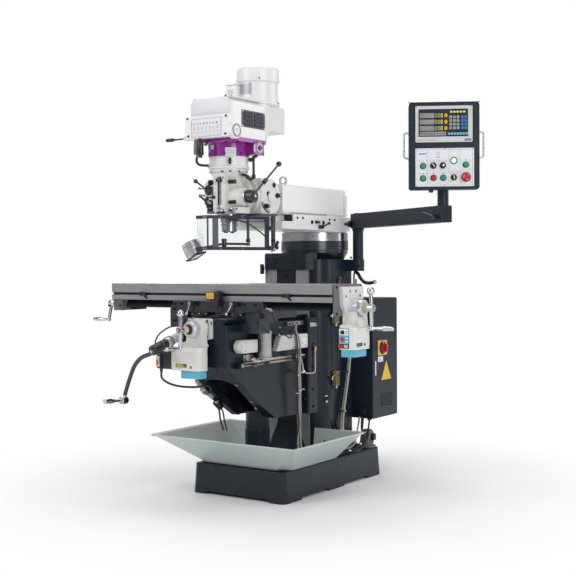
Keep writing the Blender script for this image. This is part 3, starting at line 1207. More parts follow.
p = Piece("feed_trip_linkage", "head", "black_handles").m("blackox")
p.prism([(-52, 1500), (-28, 1496), (-24, 1470), (-30, 1444), (-60, 1440), (-62, 1462), (-50, 1476)], "y", -630, -612, 2)
p.m("black")
p.tube([(-58, -634, 1500), (-54, -636, 1482), (-46, -636, 1462), (-40, -636, 1446)], 4.2, 12, 6)
p.cyl((-58, -626, 1504), (-58, -642, 1504), 8, 8)
p.m("zinc")
p.cyl((-36, -630, 1482), (-36, -638, 1482), 5.5, 5)
p.hexbolt((-44, -630, 1456), (0, -1, 0), 6, 5)
p.m("grey")
p.box(-64, -30, -628, -606, 1430, 1442, 2)
p.m("black")
p.cyl((-70, -598, 1470), (-70, -610, 1470), 12, 12)
p.cyl((-84, -570, 1478), (-66, -604, 1472), 9, 9)
p.done()

p = Piece("left_boss_caps", "head", "white_enamel").m("white2")
p.ring((-112, -548, 1560), (-1, 0, 0), [(13, 0), (13, 3), (30, 3), (35, 0)], 40)
p.m("blackox")
bolts(p, [(-113.5, -548 + 24 * cos(radians(a)), 1560 + 24 * sin(radians(a))) for a in (90, 210, 330)], (-1, 0, 0), 3.6, 3.2)
p.done()

# quill feed hub: cap on the grip face, collar ring
p = Piece("feed_hub_cap", "quill_feed", "black_handles").m("knurl")
p.lathe((169, -545, 1513), (1, 0, 0), [(26, 0), (26, 2.0), (22, 4), (8, 5), (0, 5)], 40)
p.m("zinc")
p.socket((174, -545, 1513), (1, 0, 0), 7, 1.5)
p.done()
p = Piece("feed_hub_collar", "head", "white_enamel").m("white2")
p.ring((112, -545, 1513), (1, 0, 0), [(24.8, 0), (24.8, 6), (38, 6), (43, 0)], 48)
p.m("dialm")
p.ring((118, -545, 1513), (1, 0, 0), [(24.8, 0), (24.8, 9), (33, 9), (35, 7.5), (35, 0)], 56)
p.m("ink")
for k in range(40):
    a = 2 * pi * k / 40
    p.obox((123, -545 + 35.1 * cos(a), 1513 + 35.1 * sin(a)), (6 if k % 5 == 0 else 3.4, 0.5, 0.6), (1, 0, 0), (0, cos(a), sin(a)), 0)
p.done()

# knuckle: clamp bolts, tilt scale arc on the right ear, worm shaft end
p = Piece("knuckle_fittings", "knuckle", "white_enamel")
for (y, z), big in (((-363, 1535), 0), ((-287, 1530), 1), ((-386, 1473), 1), ((-312, 1582), 0)):
    for s in (1, -1):
        x = s * 121
        if big:
            p.m("blackox").cyl((x, y, z), (x + s * 9, y, z), 13, 13, 1.5)
            p.m("black").cyl((x + s * 9, y, z), (x + s * 26, y, z), 9.5, 9.5, 1.2)
            p.m("zinc").lathe((x + s * 26, y, z), (s, 0, 0), [(5.5, 0), (5.5, 0.6), (0, 1)], 6)
        else:
            p.m("blackox").lathe((x, y, z), (s, 0, 0), [(13.5, 0), (13.5, 2), (12, 3), (7, 3), (7, 1), (0, 1)], 32)
for s in (1, -1):
    x = s * 121
    p.m("ink")
    pts, back = [], []
    for i in range(13):
        a = radians(-158 + i * 5.2)
        pts.append((-345 + 84 * cos(a), 1520 + 84 * sin(a)))
        back.insert(0, (-345 + 76 * cos(a), 1520 + 76 * sin(a)))
    p.prism(pts + back, "x", min(x, x + s * 0.6), max(x, x + s * 0.6), 0)
    p.m("silver")
    pts, back = [], []
    for i in range(13):
        a = radians(-158 + i * 5.2)
        pts.append((-345 + 74 * cos(a), 1520 + 74 * sin(a)))
        back.insert(0, (-345 + 62 * cos(a), 1520 + 62 * sin(a)))
    p.prism(pts + back, "x", min(x, x + s * 0.9), max(x, x + s * 0.9), 0)
    p.m("ink")
    for i in range(13):
        a = radians(-158 + i * 5.2)
        r0 = 64 if i % 3 == 0 else 68
        p.obox((x + s * 1.0, -345 + (r0 + 74) / 2 * cos(a), 1520 + (r0 + 74) / 2 * sin(a)), (0.5, 74 - r0, 0.8), (1, 0, 0), (0, cos(a), sin(a)), 0)
p.done()
p = Piece("tilt_scale", "knuckle", "ground_steel").m("silver")
p.ring((0, -458, 1520), (0, 1, 0), [(96.2, -3), (97.6, -3), (97.6, 3), (96.2, 3)], 72)
p.m("ink")
for k in range(-9, 10):
    a = radians(90 + k * 5)
    p.obox((97.9 * cos(a), -458 + (0 if k % 2 == 0 else 1), 1520 + 97.9 * sin(a)), (0.6, 5 if k % 2 == 0 else 3, 0.8), (cos(a), 0, sin(a)), (0, 1, 0), 0)
p.m("blackox")
for a in (35, 145, -35, -145):
    p.hexbolt((84 * cos(radians(a)), -440, 1520 + 84 * sin(radians(a))), (0, 1, 0), 8, 6)
p.done()

# ================================================================ ram and turret
p = Piece("lifting_eye", "ram", "ground_steel").m("zinc")
p.lathe((0, -56, 1592), (0, 0, 1), [(13, 0), (19, 0.6), (20, 3), (20, 7), (17, 9), (11, 11), (8.5, 16), (9, 22), (0, 23)], 36)
p.tube([(20 * cos(a), -56, 1626 + 20 * sin(a)) for a in [2 * pi * k / 28 for k in range(28)]], 6.2, 16, 0, closed=True)
p.cyl((0, -56, 1590), (0, -56, 1572), 7.6)
p.done()

p = Piece("ram_fittings", "ram", "white_enamel")
for s in (1, -1):
    x = s * 130
    p.m("white2")
    p.box(min(x, x + s * 1.4), max(x, x + s * 1.4), -250, 345, 1440, 1452, 0.6)
    p.m("silver")
    p.box(min(x, x + s * 2.0), max(x, x + s * 2.0), -190, 170, 1441.2, 1450.6, 0.3, 1)
    p.m("inkred")
    for k in range(61):
        y = -184 + k * 5.8
        p.box(min(x + s * 1.9, x + s * 2.2), max(x + s * 1.9, x + s * 2.2), y - 0.25, y + 0.25, 1447.2 if k % 5 else 1444.5, 1450.3, 0)
    for k in range(12):
        p.text(str(k * 2), (x + s * 2.1, (-184 + k * 29) if s > 0 else (-184 + k * 29), 1443.4), (0, s, 0), (0, 0, 1), 3.6, 0.3)
p.m("white")
p.box(-60, 60, 380, 383, 1470, 1540, 3)
p.m("blackox")
bolts(p, [(x, 380, z) for x in (-118, 118) for z in (1458, 1545)], (0, 1, 0), 6.5, 5)
bolts(p, [(x, 383, z) for x in (-50, 50) for z in (1480, 1530)], (0, 1, 0), 4, 3)
p.done()

p = Piece("turret_slide_fittings", "turret", "white_enamel").m("blackox")
x = 168
for y in (-31, 79):
    p.ring((x, y, 1401), (1, 0, 0), [(6.5, 0), (6.5, 1), (11, 1), (11.5, 0)], 28)
    p.lathe((x, y, 1401), (1, 0, 0), [(6.4, 0), (6.4, 6), (5, 7), (0, 7)], 6)
p.cyl((x - 1, 6, 1403), (x + 7, 6, 1403), 9, 9)
p.box(x + 1, x + 9, 4, 38, 1397, 1408, 3)
p.m("black")
p.cyl((x, 300, 1400), (x + 22, 300, 1400), 8, 8)
p.lathe((x + 20, 300, 1400), (1, 0, 0), [(9, 0), (17, 3), (18, 8), (17, 16), (12, 20), (0, 21)], 28)
p.m("blackox")
for s in (-1, 1):
    for y in (-170, -120, 140, 190, 240):
        if s > 0 and y == 240:
            continue
        p.socket((s * 168, y, 1420), (s, 0, 0), 6.2, 4)
    for (cx, cy) in ((s * 140, -262), (s * 140, 330)):
        p.socket((cx, cy, 1400), (0, 0, 1), 8, 5)
    p.hexbolt((s * 120, 382 - 9.8, 1340), (0, 1, 0), 11, 8)
for a in (-150, -30, 30, 150):
    c, s = cos(radians(a)), sin(radians(a))
p.m("white2")
p.box(-90, 90, -302.4, -300, 1368, 1392, 2)
p.m("wiper")
for s in (-1, 1):
    p.box(min(s * 112, s * 160), max(s * 112, s * 160), -209, -204.8, 1402, 1436, 1)
p.done()

p = Piece("turret_scale", "root", "ground_steel").m("ink")
for k in range(-30, 31):
    a = radians(-90 + k * 1.5 * 2)
    c, s = cos(a), sin(a)
    L = 9 if k % 5 == 0 else 5
    p.obox((185.2 * c, 250 + 185.2 * s, 1351 - 2 - L / 2), (0.5, 0.9, L), (c, s, 0), (-s, c, 0), 0)
for k in range(-3, 4):
    a = radians(-90 + k * 30)
    c, s = cos(a), sin(a)
    if k % 1 == 0:
        p.text(str(abs(k) * 30), (185.3 * c, 250 + 185.3 * s, 1330), (-s, c, 0), (0, 0, 1), 9, 0.5)
p.m("blackox")
p.m("turned")
p.ring((0, 250, 1306), (0, 0, 1), [(185.05, 1), (187, 1), (187, 5), (185.05, 5)], 96)
p.ring((0, 250, 1306), (0, 0, 1), [(185.05, 41), (186.4, 41), (186.4, 44), (185.05, 44)], 96)
p.done()

# ================================================================ guard, lamp, cutting-area fittings
p = Piece("guard_fittings", "guard", "guard_black").m("guard")
p.cyl((165, -384, 1254), (165, -384, 1266), 13, 13)
p.cyl((165, -384, 1402), (165, -384, 1414), 13, 13)
p.m("black")
p.cyl((165, -384, 1418), (165, -384, 1426), 10, 8)
# corner fixings of the clear sheet
p.m("zinc")
for (x, y) in ((146, -425), (104, -565), (66, -688)):
    for z in (1258, 1410):
        d = Vector((0.956, -0.293, 0)).normalized()
        p.panhead((x + d.x * 4.2, y + d.y * 4.2, z), d, 3.6, 2.2)
for x in (8, 22):
    for z in (1258, 1410):
        p.panhead((x, -742.3, z), (0, -1, 0), 3.4, 2.2)
p.m("guard")
p.box(26, 33, -741.5, -735, 1266, 1402, 1.2)
p.done()

p = Piece("guard_latch_knobs", "guard", "black_handles").m("black")
p.lathe((168, -371, 1268), (0.6, 0.6, 0.1), [(8, 0), (15, 3), (16, 8), (15, 13), (9, 16)], 24)
p.cyl((165, -384, 1262), (184, -378, 1286), 6, 5)
p.ball((186, -377, 1289), 9)
p.m("chrome")
p.cyl((160, -392, 1244), (182, -398, 1256), 4, 4)
p.lathe((180, -398, 1255), (1, -0.2, 0.4), [(5, 0), (7, 2), (7, 5), (5, 7)], 6)
p.m("blackox")
p.cyl((158, -386, 1296), (176, -390, 1300), 7, 7)
p.hexbolt((172, -390, 1300), (1, -0.2, 0.1), 6, 4)
p.done()

# flexible oil line and jointed coolant tubing in front of the quill
p = Piece("coolant_line", "head", "black_handles").m("rubber")
p.tube([(-12, -600, 1424), (20, -600, 1412), (52, -590, 1402), (90, -560, 1396), (118, -520, 1378), (140, -470, 1345), (152, -430, 1318)], 3.6, 12, 8)
p.m("blackox")
p.cyl((56, -596, 1420), (56, -596, 1386), 3.2, 3.2)
p.cyl((50, -596, 1402), (62, -596, 1402), 3.4, 3.4)
p.done()

p = Piece("jointed_nozzle", "lamp_arm", "guard_black").m("black")
p.cyl((41, -625, 1296), (41, -625, 1268), 12, 12, 2)
p.lathe((41, -625, 1296), (0, 0, 1), [(12, 0), (13.5, 1), (13.5, 8), (11, 11), (0, 12)], 20)
p.m("blackox")
p.hexbolt((41, -625, 1268), (0, 0, -1), 8, 5)
p.cyl((84, -486, 1291), (84, -486, 1299), 12, 10)
p.done()

# lamp: bezel frame, window, end cap with slots, cooling fins
LD = Vector((-0.45, -0.12, 0.86)).normalized()
LX = Vector((0.86, -0.1, 0.45)).normalized()
LX = (LX - LD * LX.dot(LD)).normalized()
LY = LD.cross(LX)
LC = Vector((-94, -700, 1252))
p = Piece("lamp_window", "lamp", "lamp_alloy")
lo = min((v.co / S - LC).dot(LD) for v in nodes["lamp_head"].data.vertices)
hi = max((v.co / S - LC).dot(LD) for v in nodes["lamp_head"].data.vertices)
for sgn, e in ((-1, lo),):
    c0 = LC + LD * e
    p.m("black")
    for (a, b, w, h) in ((0, -34, 78, 9), (0, 34, 78, 9), (-35, 0, 9, 60), (35, 0, 9, 60)):
        p.obox(c0 + LX * a + LY * b - LD * 2, (w, h, 9), LX, LY, 1.5)
    p.m("lampglass")
    p.obox(c0 - LD * 0.6, (62, 60, 4), LX, LY, 0.8)
p.m("alloy")
for k in range(5):
    e = lo + 14 + k * (hi - lo - 24) / 4.6
    p.ring(LC + LD * e, LD, [(41.6, 0), (41.6, 3), (45.5, 3), (45.5, 0)], 56)
p.m("zinc")
for a in (0, 90, 180, 270):
    c, s = cos(radians(a)), sin(radians(a))
    p.panhead(LC + LD * hi + (LX * c + LY * s) * 28, LD, 3.2, 2)
p.done()
p = Piece("lamp_knuckle_cap", "lamp_arm", "black_handles").m("black")
q = LC + LX * 46 - LD * 16
p.lathe(q - LX * 8, LX, [(12, 0), (13, 2), (13, 12), (11, 15), (7, 15.5), (6, 13), (0, 13)], 28)
p.m("zinc")
p.socket(q + LX * 4.5, LX, 3.4, 3)
p.done()

# spindle nose details: drawbar collar ring
p = Piece("spindle_collar", "spindle", "ground_steel").m("turned")
p.ring((0, -530, 1372), (0, 0, 1), [(38.05, 0), (41, 0.6), (41, 10), (38.05, 11)], 48)
p.m("blackox")
for a in (30, 150, 270):
    c, s = cos(radians(a)), sin(radians(a))
    p.socket((c * 40.5, -530 + s * 40.5, 1377), (c, s, 0), 3.4, 2)
for s in (-1, 1):
    p.box(-7 + 0, 7, -530 + s * 26 - 8, -530 + s * 26 + 8, 1336.5, 1346, 1.2)
p.done()
p = Piece("quill_bands", "quill", "ground_steel").m("turned")
p.ring((0, -530, 1391), (0, 0, 1), [(43.0, 0), (44.6, 0.6), (44.6, 6), (43.0, 7)], 48)
p.m("ink")
for k in range(3):
    p.ring((0, -530, 1402 + k * 8), (0, 0, 1), [(42.95, 0), (43.15, 0), (43.15, 0.7), (42.95, 0.7)], 48)
p.done()

# ================================================================ table, saddle, feeds
p = Piece("table_stops", "table", "black_handles")
for x in (-486, 412):
    p.m("blackox")
    p.prism([(x - 24, 1022), (x + 24, 1022), (x + 26, 1032), (x + 18, 1041), (x - 18, 1041), (x - 26, 1032)], "y", -637, -629.2, 2)
    p.cyl((x - 8, -636, 1032), (x - 8, -642, 1032), 9.5, 8.5)
    p.m("black")
    p.box(x + 3, x + 19, -640, -634, 1024, 1039, 2)
    p.m("blackox")
    p.prism([(x + 6, 1018), (x + 26, 1006), (x + 30, 1009), (x + 14, 1024)], "y", -635, -630, 0.8)
p.done()

p = Piece("table_edge_detail", "table", "ground_steel").m("ink")
p.box(-706, 664, -629.35, -628.9, 1036.6, 1038.4, 0)
p.m("turned")
p.box(-706.6, 664.6, -629.4, -628.6, 1081.5, 1085.05, 0.4, 1)
# end gutters: drain plugs and screws
p.m("zinc")
for y in (-590, -502, -414):
    p.socket((-707, y, 1018), (-1, 0, 0), 6, 4)
p.m("brass")
p.hexbolt((-707, -540, 1060), (-1, 0, 0), 7, 5)
p.done()

# long-travel limit switch on the saddle with a yellow face
p = Piece("limit_switch", "saddle", "black_plastic").m("blackp")
p.box(-40, 25, -676, -646, 1006, 1046, 5)
p.box(10, 42, -674, -634, 1002, 1048, 4)
p.box(-12, 38, -672, -640, 980, 1010, 4)
p.m("rubber")
p.cyl((27, -654, 1046), (27, -654, 1052), 12, 10, 2)
p.cyl((20, -664, 984), (27, -666, 972), 8, 7)
p.m("yellow")
p.prism(rrect(-8, 1027, 46, 30, 4), "y", -678.6, -675.5, 0.8)
p.m("amber")
p.prism(rrect(-8, 1027, 30, 17, 3), "y", -679.4, -678.2, 0.4)
p.m("cable")
p.tube([(27, -666, 972), (32, -664, 954), (48, -656, 946), (96, -654, 944.5), (170, -654, 948), (232, -654, 956), (268, -655, 962), (288, -642, 966)], 3.0, 10, 8)
p.done()

p = Piece("lock_lever_blocks", "saddle", "dark_casting")
for x in (-146, 115):
    p.m("dark2")
    p.box(x - 6, x + 34, -666, -650.05, 976, 1001, 4)
    p.m("blackox")
    p.cyl((x + 22, -666, 990), (x + 22, -676, 990), 8, 7)
    p.box(x + 8, x + 20, -670, -664, 992, 1003, 2)
p.m("blackox")
for x in (-262, -215, 175, 240):
    p.socket((x, -650, 985), (0, -1, 0), 5.6, 4.5)
for x in (-262, 262):
    for z in (900, 960):
        p.socket((x, -650, z), (0, -1, 0), 6.4, 5)
p.m("brass")
p.lathe((-200, -650, 940), (0, -1, 0), [(5, 0), (5, 3), (3, 4), (3, 7), (4, 8), (0, 9)], 16)
p.done()

p = Piece("saddle_wipers", "saddle", "black_plastic").m("wiper")
for s in (-1, 1):
    p.box(s * 289 + (0 if s > 0 else -1.4), s * 289 + (3 if s > 0 else 0), -600, -420, 986, 999.6, 0.5)
    p.box(min(s * 78, s * 138), max(s * 78, s * 138), -657, -650.1, 923, 931, 1.2)
p.m("dark")
p.box(-150, -44, -655, -650.1, 930, 944, 1.5)
p.box(44, 172, -655, -650.1, 930, 944, 1.5)
p.m("zinc")
for x in (-138, -96, -54, 54, 110, 160):
    p.panhead((x, -655, 937), (0, -1, 0), 3.4, 2)
p.done()

# oil line from the saddle to the knee: brass elbow and black hose
p = Piece("saddle_oil_elbow", "saddle", "ground_steel").m("brass")
p.hexa((289, -626, 968), (300, -626, 968), 9)
p.cyl((300, -626, 968), (314, -628, 965), 6.5, 6.5)
p.m("zinc")
p.hexa((314, -628, 965), (323, -629, 962), 8)
p.m("brass")
p.cyl((323, -629, 962), (332, -630, 957), 4.6, 4.2)
p.done()
p = Piece("saddle_oil_hose", "", "belt_rubber").m("rubber")
p.tube([(329, -630, 958), (332, -626, 930), (322, -560, 878), (290, -460, 832), (250, -360, 812), (214, -300, 828), (190, -270, 842), (170, -248, 836)], 3.6, 12, 8)
p.m("zinc")
p.cyl((323, -562, 880), (318, -552, 875), 5.2, 5.2)
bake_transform(p.done())

# ---- X power feed control face and dial marks
p = Piece("x_feed_controls", "table", "white_enamel")
F = -594.0
p.m("sheet")
p.prism(rrect(706, 838, 54, 92, 3), "y", F - 1.6, F, 0.6)
p.m("label")
p.prism(rrect(706, 866, 50, 32, 2), "y", F - 2.4, F - 1.4, 0.2)
p.m("blue")
p.prism(rrect(706, 832, 50, 40, 2), "y", F - 2.4, F - 1.4, 0.2)
p.m("ink")
p.lathe((700, F - 2.2, 866), (0, -1, 0), [(10, 0), (10, 1), (7.5, 2), (7, 11), (6, 12), (0, 12)], 24)
p.box(716, 728, F - 3.0, F - 2.2, 868, 871, 0.2, 1)
p.box(716, 728, F - 3.0, F - 2.2, 860, 862, 0.2, 1)
p.m("red")
p.lathe((700, F - 2.2, 834), (0, -1, 0), [(9.5, 0), (10.5, 1), (10.5, 6), (9, 8), (0, 8)], 24)
p.m("label")
p.box(714, 729, F - 3.2, F - 2.2, 836, 841, 0.4, 1)
p.box(714, 729, F - 3.2, F - 2.2, 822, 827, 0.4, 1)
p.m("red")
p.prism(rrect(692, 802, 20, 12, 2), "y", F - 5, F - 1.4, 0.8)
p.m("cream")
p.prism(rrect(718, 802, 20, 12, 2), "y", F - 5, F - 1.4, 0.8)
p.m("orange")
p.box(672.6, 676.6, -590, -574, 794, 812, 1.2)
# rating strip and screw on the right face
p.m("ink")
p.box(766.0, 767.0, -582, -530, 801, 817, 0.3, 1)
p.m("olive")
for k in range(5):
    p.box(766.9, 767.5, -578 + k * 9, -574 + k * 9, 804, 814, 0.15, 1)
p.m("ink")
p.cyl((766, -510, 808), (768, -510, 808), 6, 6)
p.m("blackox")
for y, z in ((-560, 1030), (-434, 1030), (-525, 1052), (-474, 1052)):
    p.ring((691, y, z), (1, 0, 0), [(3.4, 0), (3.4, 3), (6.2, 3), (6.6, 0)], 24)
    p.lathe((690.6, y, z), (1, 0, 0), [(3.4, 0), (3.4, 1), (0, 1)], 6)
p.m("zinc")
for z in (796, 880):
    p.panhead((766, -566, z), (1, 0, 0), 3.2, 1.8)
    p.panhead((766, -474, z), (1, 0, 0), 3.2, 1.8)
p.done()

p = Piece("x_dial_marks", "table_screw", "ground_steel").m("ink")
for k in range(60):
    a = 2 * pi * k / 60
    r = 41.4
    p.obox((748, -502 + 41.6 * cos(a), 976 + 41.6 * sin(a)), (7 if k % 5 == 0 else 4, 0.5, 0.6), (1, 0, 0), (0, cos(a), sin(a)), 0)
for k in range(12):
    a = 2 * pi * k / 12
p.m("dialc")
p.ring((760.1, -502, 976), (1, 0, 0), [(24.2, 0), (24.2, 2.2), (30, 3.2), (36, 2.4), (38, 0)], 56)
p.m("zinc")
p.hexa((811, -502, 976), (818, -502, 976), 9)
p.socket((-843, -502, 976), (-1, 0, 0), 7, 5)
p.done()

# left end bracket
p = Piece("left_bracket_cap", "table", "grey_casting").m("bracket")
p.box(-700, -640, -622, -612, 946, 1000, 6)
p.m("blackox")
for y in (-590, -414):
    for z in (965,):
        p.socket((-756, y, z), (-1, 0, 0), 6, 5)
for x in (-735, -655):
    p.socket((x, -622, 968), (0, -1, 0), 6, 4)
p.m("dialc")
p.ring((-757, -502, 976), (-1, 0, 0), [(16, 0), (16, 20), (34, 20), (38, 14), (40, 0)], 48)
p.m("ink")
for k in range(40):
    a = 2 * pi * k / 40
    p.obox((-764, -502 + 39.6 * cos(a), 976 + 39.6 * sin(a)), (7 if k % 5 == 0 else 4, 0.5, 0.6), (1, 0, 0), (0, cos(a), sin(a)), 0)
p.done()
p = Piece("right_plate_screws", "table", "grey_casting").m("blackox")
for y in (-610, -394):
    for z in (950, 1072):
        p.socket((677, y, z), (1, 0, 0), 6, 4)
p.done()

# ---- Y power feed: bolts, switch, plate, cable loop
p = Piece("y_feed_fittings", "knee", "white_enamel")
p.m("blackox")
for x, z in ((-59, 908), (46, 908), (46, 834)):
    p.socket((x, -763, z), (0, -1, 0), 6.5, 5)
p.m("ink")
p.box(-84, -16, -849.2, -847.9, 690, 706, 0.4, 1)
p.m("seg")
for k in range(3):
    p.box(-80, -30 - 6 * k, -849.8, -849.0, 693 + k * 4.2, 695.0 + k * 4.2, 0.15, 1)
p.m("red")
p.box(-28, -20, -849.8, -849.0, 693, 703, 0.3, 1)
p.m("ink")
p.cyl((8, -847.6, 692), (8, -850, 692), 6.5, 6.5)
p.m("label")
p.panhead((8, -850, 692), (0, -1, 0), 2.6, 1)
p.m("white2")
for k in range(6):
    p.box(-108 + 4 * 0, 30, -848.7, -848.0, 716 + k * 9, 717.4 + k * 9, 0.3, 1)
p.m("turned")
p.prism([(50, 826), (60, 826), (60, 916), (50, 916)], "y", -769.4, -768.1, 0.5)
p.m("zinc")
p.cyl((-20, -812, 916), (-20, -780, 922), 7, 7)
p.hexbolt((60.1, -756, 900), (1, 0, 0), 6, 4)
p.done()
p = Piece("y_dial_marks", "cross_screw", "ground_steel").m("ink")
for k in range(60):
    a = 2 * pi * k / 60
    p.obox((40.7 * cos(a), -822, 872 + 40.7 * sin(a)), (0.5, 8 if k % 5 == 0 else 5, 0.6), (cos(a), 0, sin(a)), (0, 1, 0), 0)
p.m("dialc")
p.ring((0, -852, 872), (0, -1, 0), [(25.2, -1), (25.2, 1.5), (30, 2.2), (33.5, 1), (34, -1)], 56)
p.m("zinc")
p.hexa((0, -926, 872), (0, -932, 872), 8)
p.done()

p = Piece("feed_switch_box", "knee", "black_plastic").m("blackp")
p.box(-196, -117, -842, -776, 676, 762, 5)
p.m("guard")
p.box(-202, -180, -852, -820, 678, 752, 3)
p.m("readout")
p.prism(rrect(-194, 712, 22, 52, 3), "y", -855, -851, 0.8)
p.m("orange")
p.prism(rrect(-194, 709, 15, 24, 2), "y", -858, -854.6, 1)
p.m("inkred")
p.box(-200, -189, -858.6, -857.8, 704, 706.5, 0.2, 1)
p.m("rubber")
p.cyl((-186, -834, 762), (-186, -834, 772), 6, 5)
p.cyl((-188, -834, 676), (-188, -834, 660), 8, 6.5)
p.m("zinc")
p.panhead((-194, -855, 744), (0, -1, 0), 2.6, 1.6)
p.done()

p = Piece("feed_cables", "knee", "black_plastic").m("cable")
p.tube([(-186, -834, 770), (-214, -836, 786), (-232, -826, 806), (-230, -800, 840), (-196, -770, 872), (-150, -752, 880), (-118, -742, 878)], 3.6, 12, 8)
p.tube([(-188, -834, 662), (-190, -828, 630), (-168, -806, 604), (-120, -776, 588), (-60, -740, 584), (-20, -706, 588), (-8, -680, 582), (-14, -666, 566)], 5.2, 12, 8)
p.done()

# flexible conduit fittings on the sloping front wall
SL = Vector((0, 159, -125)).normalized()
SN = Vector((0, -125, -159)).normalized()


def slope(x, s, h=0.0):
    return Vector((x, -630, 606)) + SL * s + SN * h


p = Piece("slope_conduit", "knee", "ground_steel").m("hose_grey")
p.tube([slope(-120, -14, 12), slope(-122, 20, 16), slope(-120, 50, 18)], 11, 16, 6, ribs=0.14, pitch=6)
p.m("zinc")
p.cyl(slope(-120, 50, 18), slope(-118, 66, 18), 17, 17, 2)
p.hexa(slope(-118, 66, 18), slope(-117, 84, 18), 19)
p.cyl(slope(-117, 84, 18), slope(-115, 96, 18), 15, 13, 2)
p.m("hose_grey")
p.tube([slope(-115, 94, 18), slope(-112, 116, 18), slope(-112, 132, 17)], 11, 16, 6, ribs=0.14, pitch=6)
p.m("cable")
p.tube([slope(-112, 130, 17), slope(-112, 150, 16), slope(-110, 176, 15)], 8, 12, 6)
p.m("zinc")
p.cyl(slope(-110, 168, 15), slope(-109, 184, 15), 12, 12, 1.5)
p.m("zinc")
for x, s in ((-122, -24), (-122, 150), (104, 20), (104, 172)):
    p.socket(slope(x, s, 0), SN, 6.5, 5)
p.m("dark2")
p.obox(slope(-122, 210, 14), (26, 60, 28), (1, 0, 0), SL, 3)
p.done()
for nm_, pts_, r_ in (("post_cable_a", [slope(-110, 180, 15), slope(-112, 214, 34), (-110, -480, 430), (-104, -476, 380), (-90, -470, 336)], 4.6),
                      ("post_cable_b", [slope(-104, 176, 14), slope(-100, 208, 30), (-92, -474, 432), (-84, -470, 380), (-72, -466, 336)], 4.0)):
    p = Piece(nm_, "", "black_plastic").m("cable")
    p.tube(pts_, r_, 12, 10)
    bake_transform(p.done())

# ================================================================ knee: right flank fittings
p = Piece("lubricator", "knee", "white_enamel").m("cream2")
p.box(141, 196, -676, -560, 752, 816, 6)
p.box(146, 200, -690, -672, 762, 810, 5)
p.m("readout")
p.box(149, 194, -700, -688, 770, 800, 4)
p.m("zinc")
for y in (-664, -572):
    for z in (762, 806):
        p.panhead((196, y, z), (1, 0, 0), 3.4, 2)
p.m("dark2")
p.box(140, 200, -560, -540, 748, 820, 3)
p.done()

p = Piece("oil_reservoir", "knee", "readout_plastic").m("reservoir")
rx, ry = 182, -486
p.lathe((rx, ry, 722), (0, 0, 1), [(31, 0), (32.5, 3), (32.5, 128), (30, 134), (24, 137), (0, 137)], 40)
p.ring((rx, ry, 722), (0, 0, 1), [(32.4, 4), (34.4, 4), (34.4, 9), (32.4, 9)], 40)
p.ring((rx, ry, 722), (0, 0, 1), [(32.4, 118), (34.8, 118), (34.8, 126), (32.4, 126)], 40)
p.lathe((rx, ry, 712), (0, 0, 1), [(40, 0), (42, 2), (42, 8), (38, 10.5)], 40)
p.m("silver")
for a in range(0, 360, 24):
    c, s = cos(radians(a)), sin(radians(a))
    p.obox((rx + c * 32.8, ry + s * 32.8, 782), (1.2, 2.2, 98), (c, s, 0), (-s, c, 0), 0.5)
p.m("ink")
for a in (-100, -20):
    c, s = cos(radians(a)), sin(radians(a))
    p.cyl((rx + c * 31, ry + s * 31, 842), (rx + c * 35.4, ry + s * 35.4, 842), 4.4, 4.4)
p.m("blackox")
p.cyl((rx, ry, 858), (rx, ry, 866), 9, 8)
p.m("dark2")
p.box(140, 160, -522, -450, 706, 856, 3)
p.done()
p = Piece("reservoir_bracket", "knee", "ground_steel").m("zinc")
p.box(141, 206, -606, -470, 705, 711, 1.5)
p.prism([(-606, 706), (-560, 706), (-560, 712), (-592, 728), (-606, 728)], "x", 190, 196, 1)
p.box(141, 147, -616, -470, 706, 738, 1.2)
p.m("chrome")
p.cyl((176, -584, 711), (176, -584, 724), 9, 9)
p.hexbolt((196, -560, 709), (1, 0, 0), 7, 5)
p.cyl((190, -604, 716), (206, -612, 722), 6, 6)
p.done()

p = Piece("terminal_cover", "knee", "white_enamel").m("white2")
p.prism([(-372, 746), (-340, 812), (-326, 818), (-96, 818), (-90, 812), (-90, 750), (-96, 744), (-366, 742)], "x", 141, 176, 3)
p.m("label")
p.box(176, 177, -240, -110, 760, 800, 0.3, 1)
p.m("zinc")
p.cyl((158, -330, 818), (158, -330, 828), 8, 8)
for y in (-344, -106):
    for z in (756, 802 if y > -200 else 770):
        p.panhead((176, y, z), (1, 0, 0), 3.4, 2)
p.m("inkgrey")
for k in range(3):
    p.box(177, 177.4, -232, -130 - 14 * k, 768 + k * 10, 770 + k * 10, 0.1, 1)
p.done()

# travel rails with dogs
p = Piece("travel_rails", "knee", "lamp_alloy")
p.m("blackox")
p.box(141, 158, -668, -444, 680, 706, 1.5)
p.m("rail")
p.box(158, 162, -664, -470, 698, 704, 0.8)
p.box(158, 162, -664, -470, 684, 689, 0.8)
p.m("blackox")
p.box(141, 172, -672, -640, 676, 708, 2)
p.m("zinc")
p.hexbolt((172, -656, 692), (1, 0, 0), 7, 5)
p.m("brownst")
p.box(158, 170, -560, -532, 676, 692, 2)
p.m("rail")
p.box(141, 160, -410, -214, 700, 712, 1.2)
p.box(141, 160, -410, -214, 684, 694, 1.2)
p.m("blackox")
p.box(141, 154, -406, -214, 694, 700, 0.5)
p.m("rail")
p.box(141, 160, -176, -46, 700, 711, 1.2)
p.m("brownst")
p.box(141, 158, -176, -60, 687, 693, 1)
p.m("blackox")
p.box(141, 166, -66, -44, 684, 716, 2)
p.m("zinc")
for y in (-396, -312, -230, -160):
    p.panhead((160, y, 706), (1, 0, 0), 3.2, 1.8)
p.done()

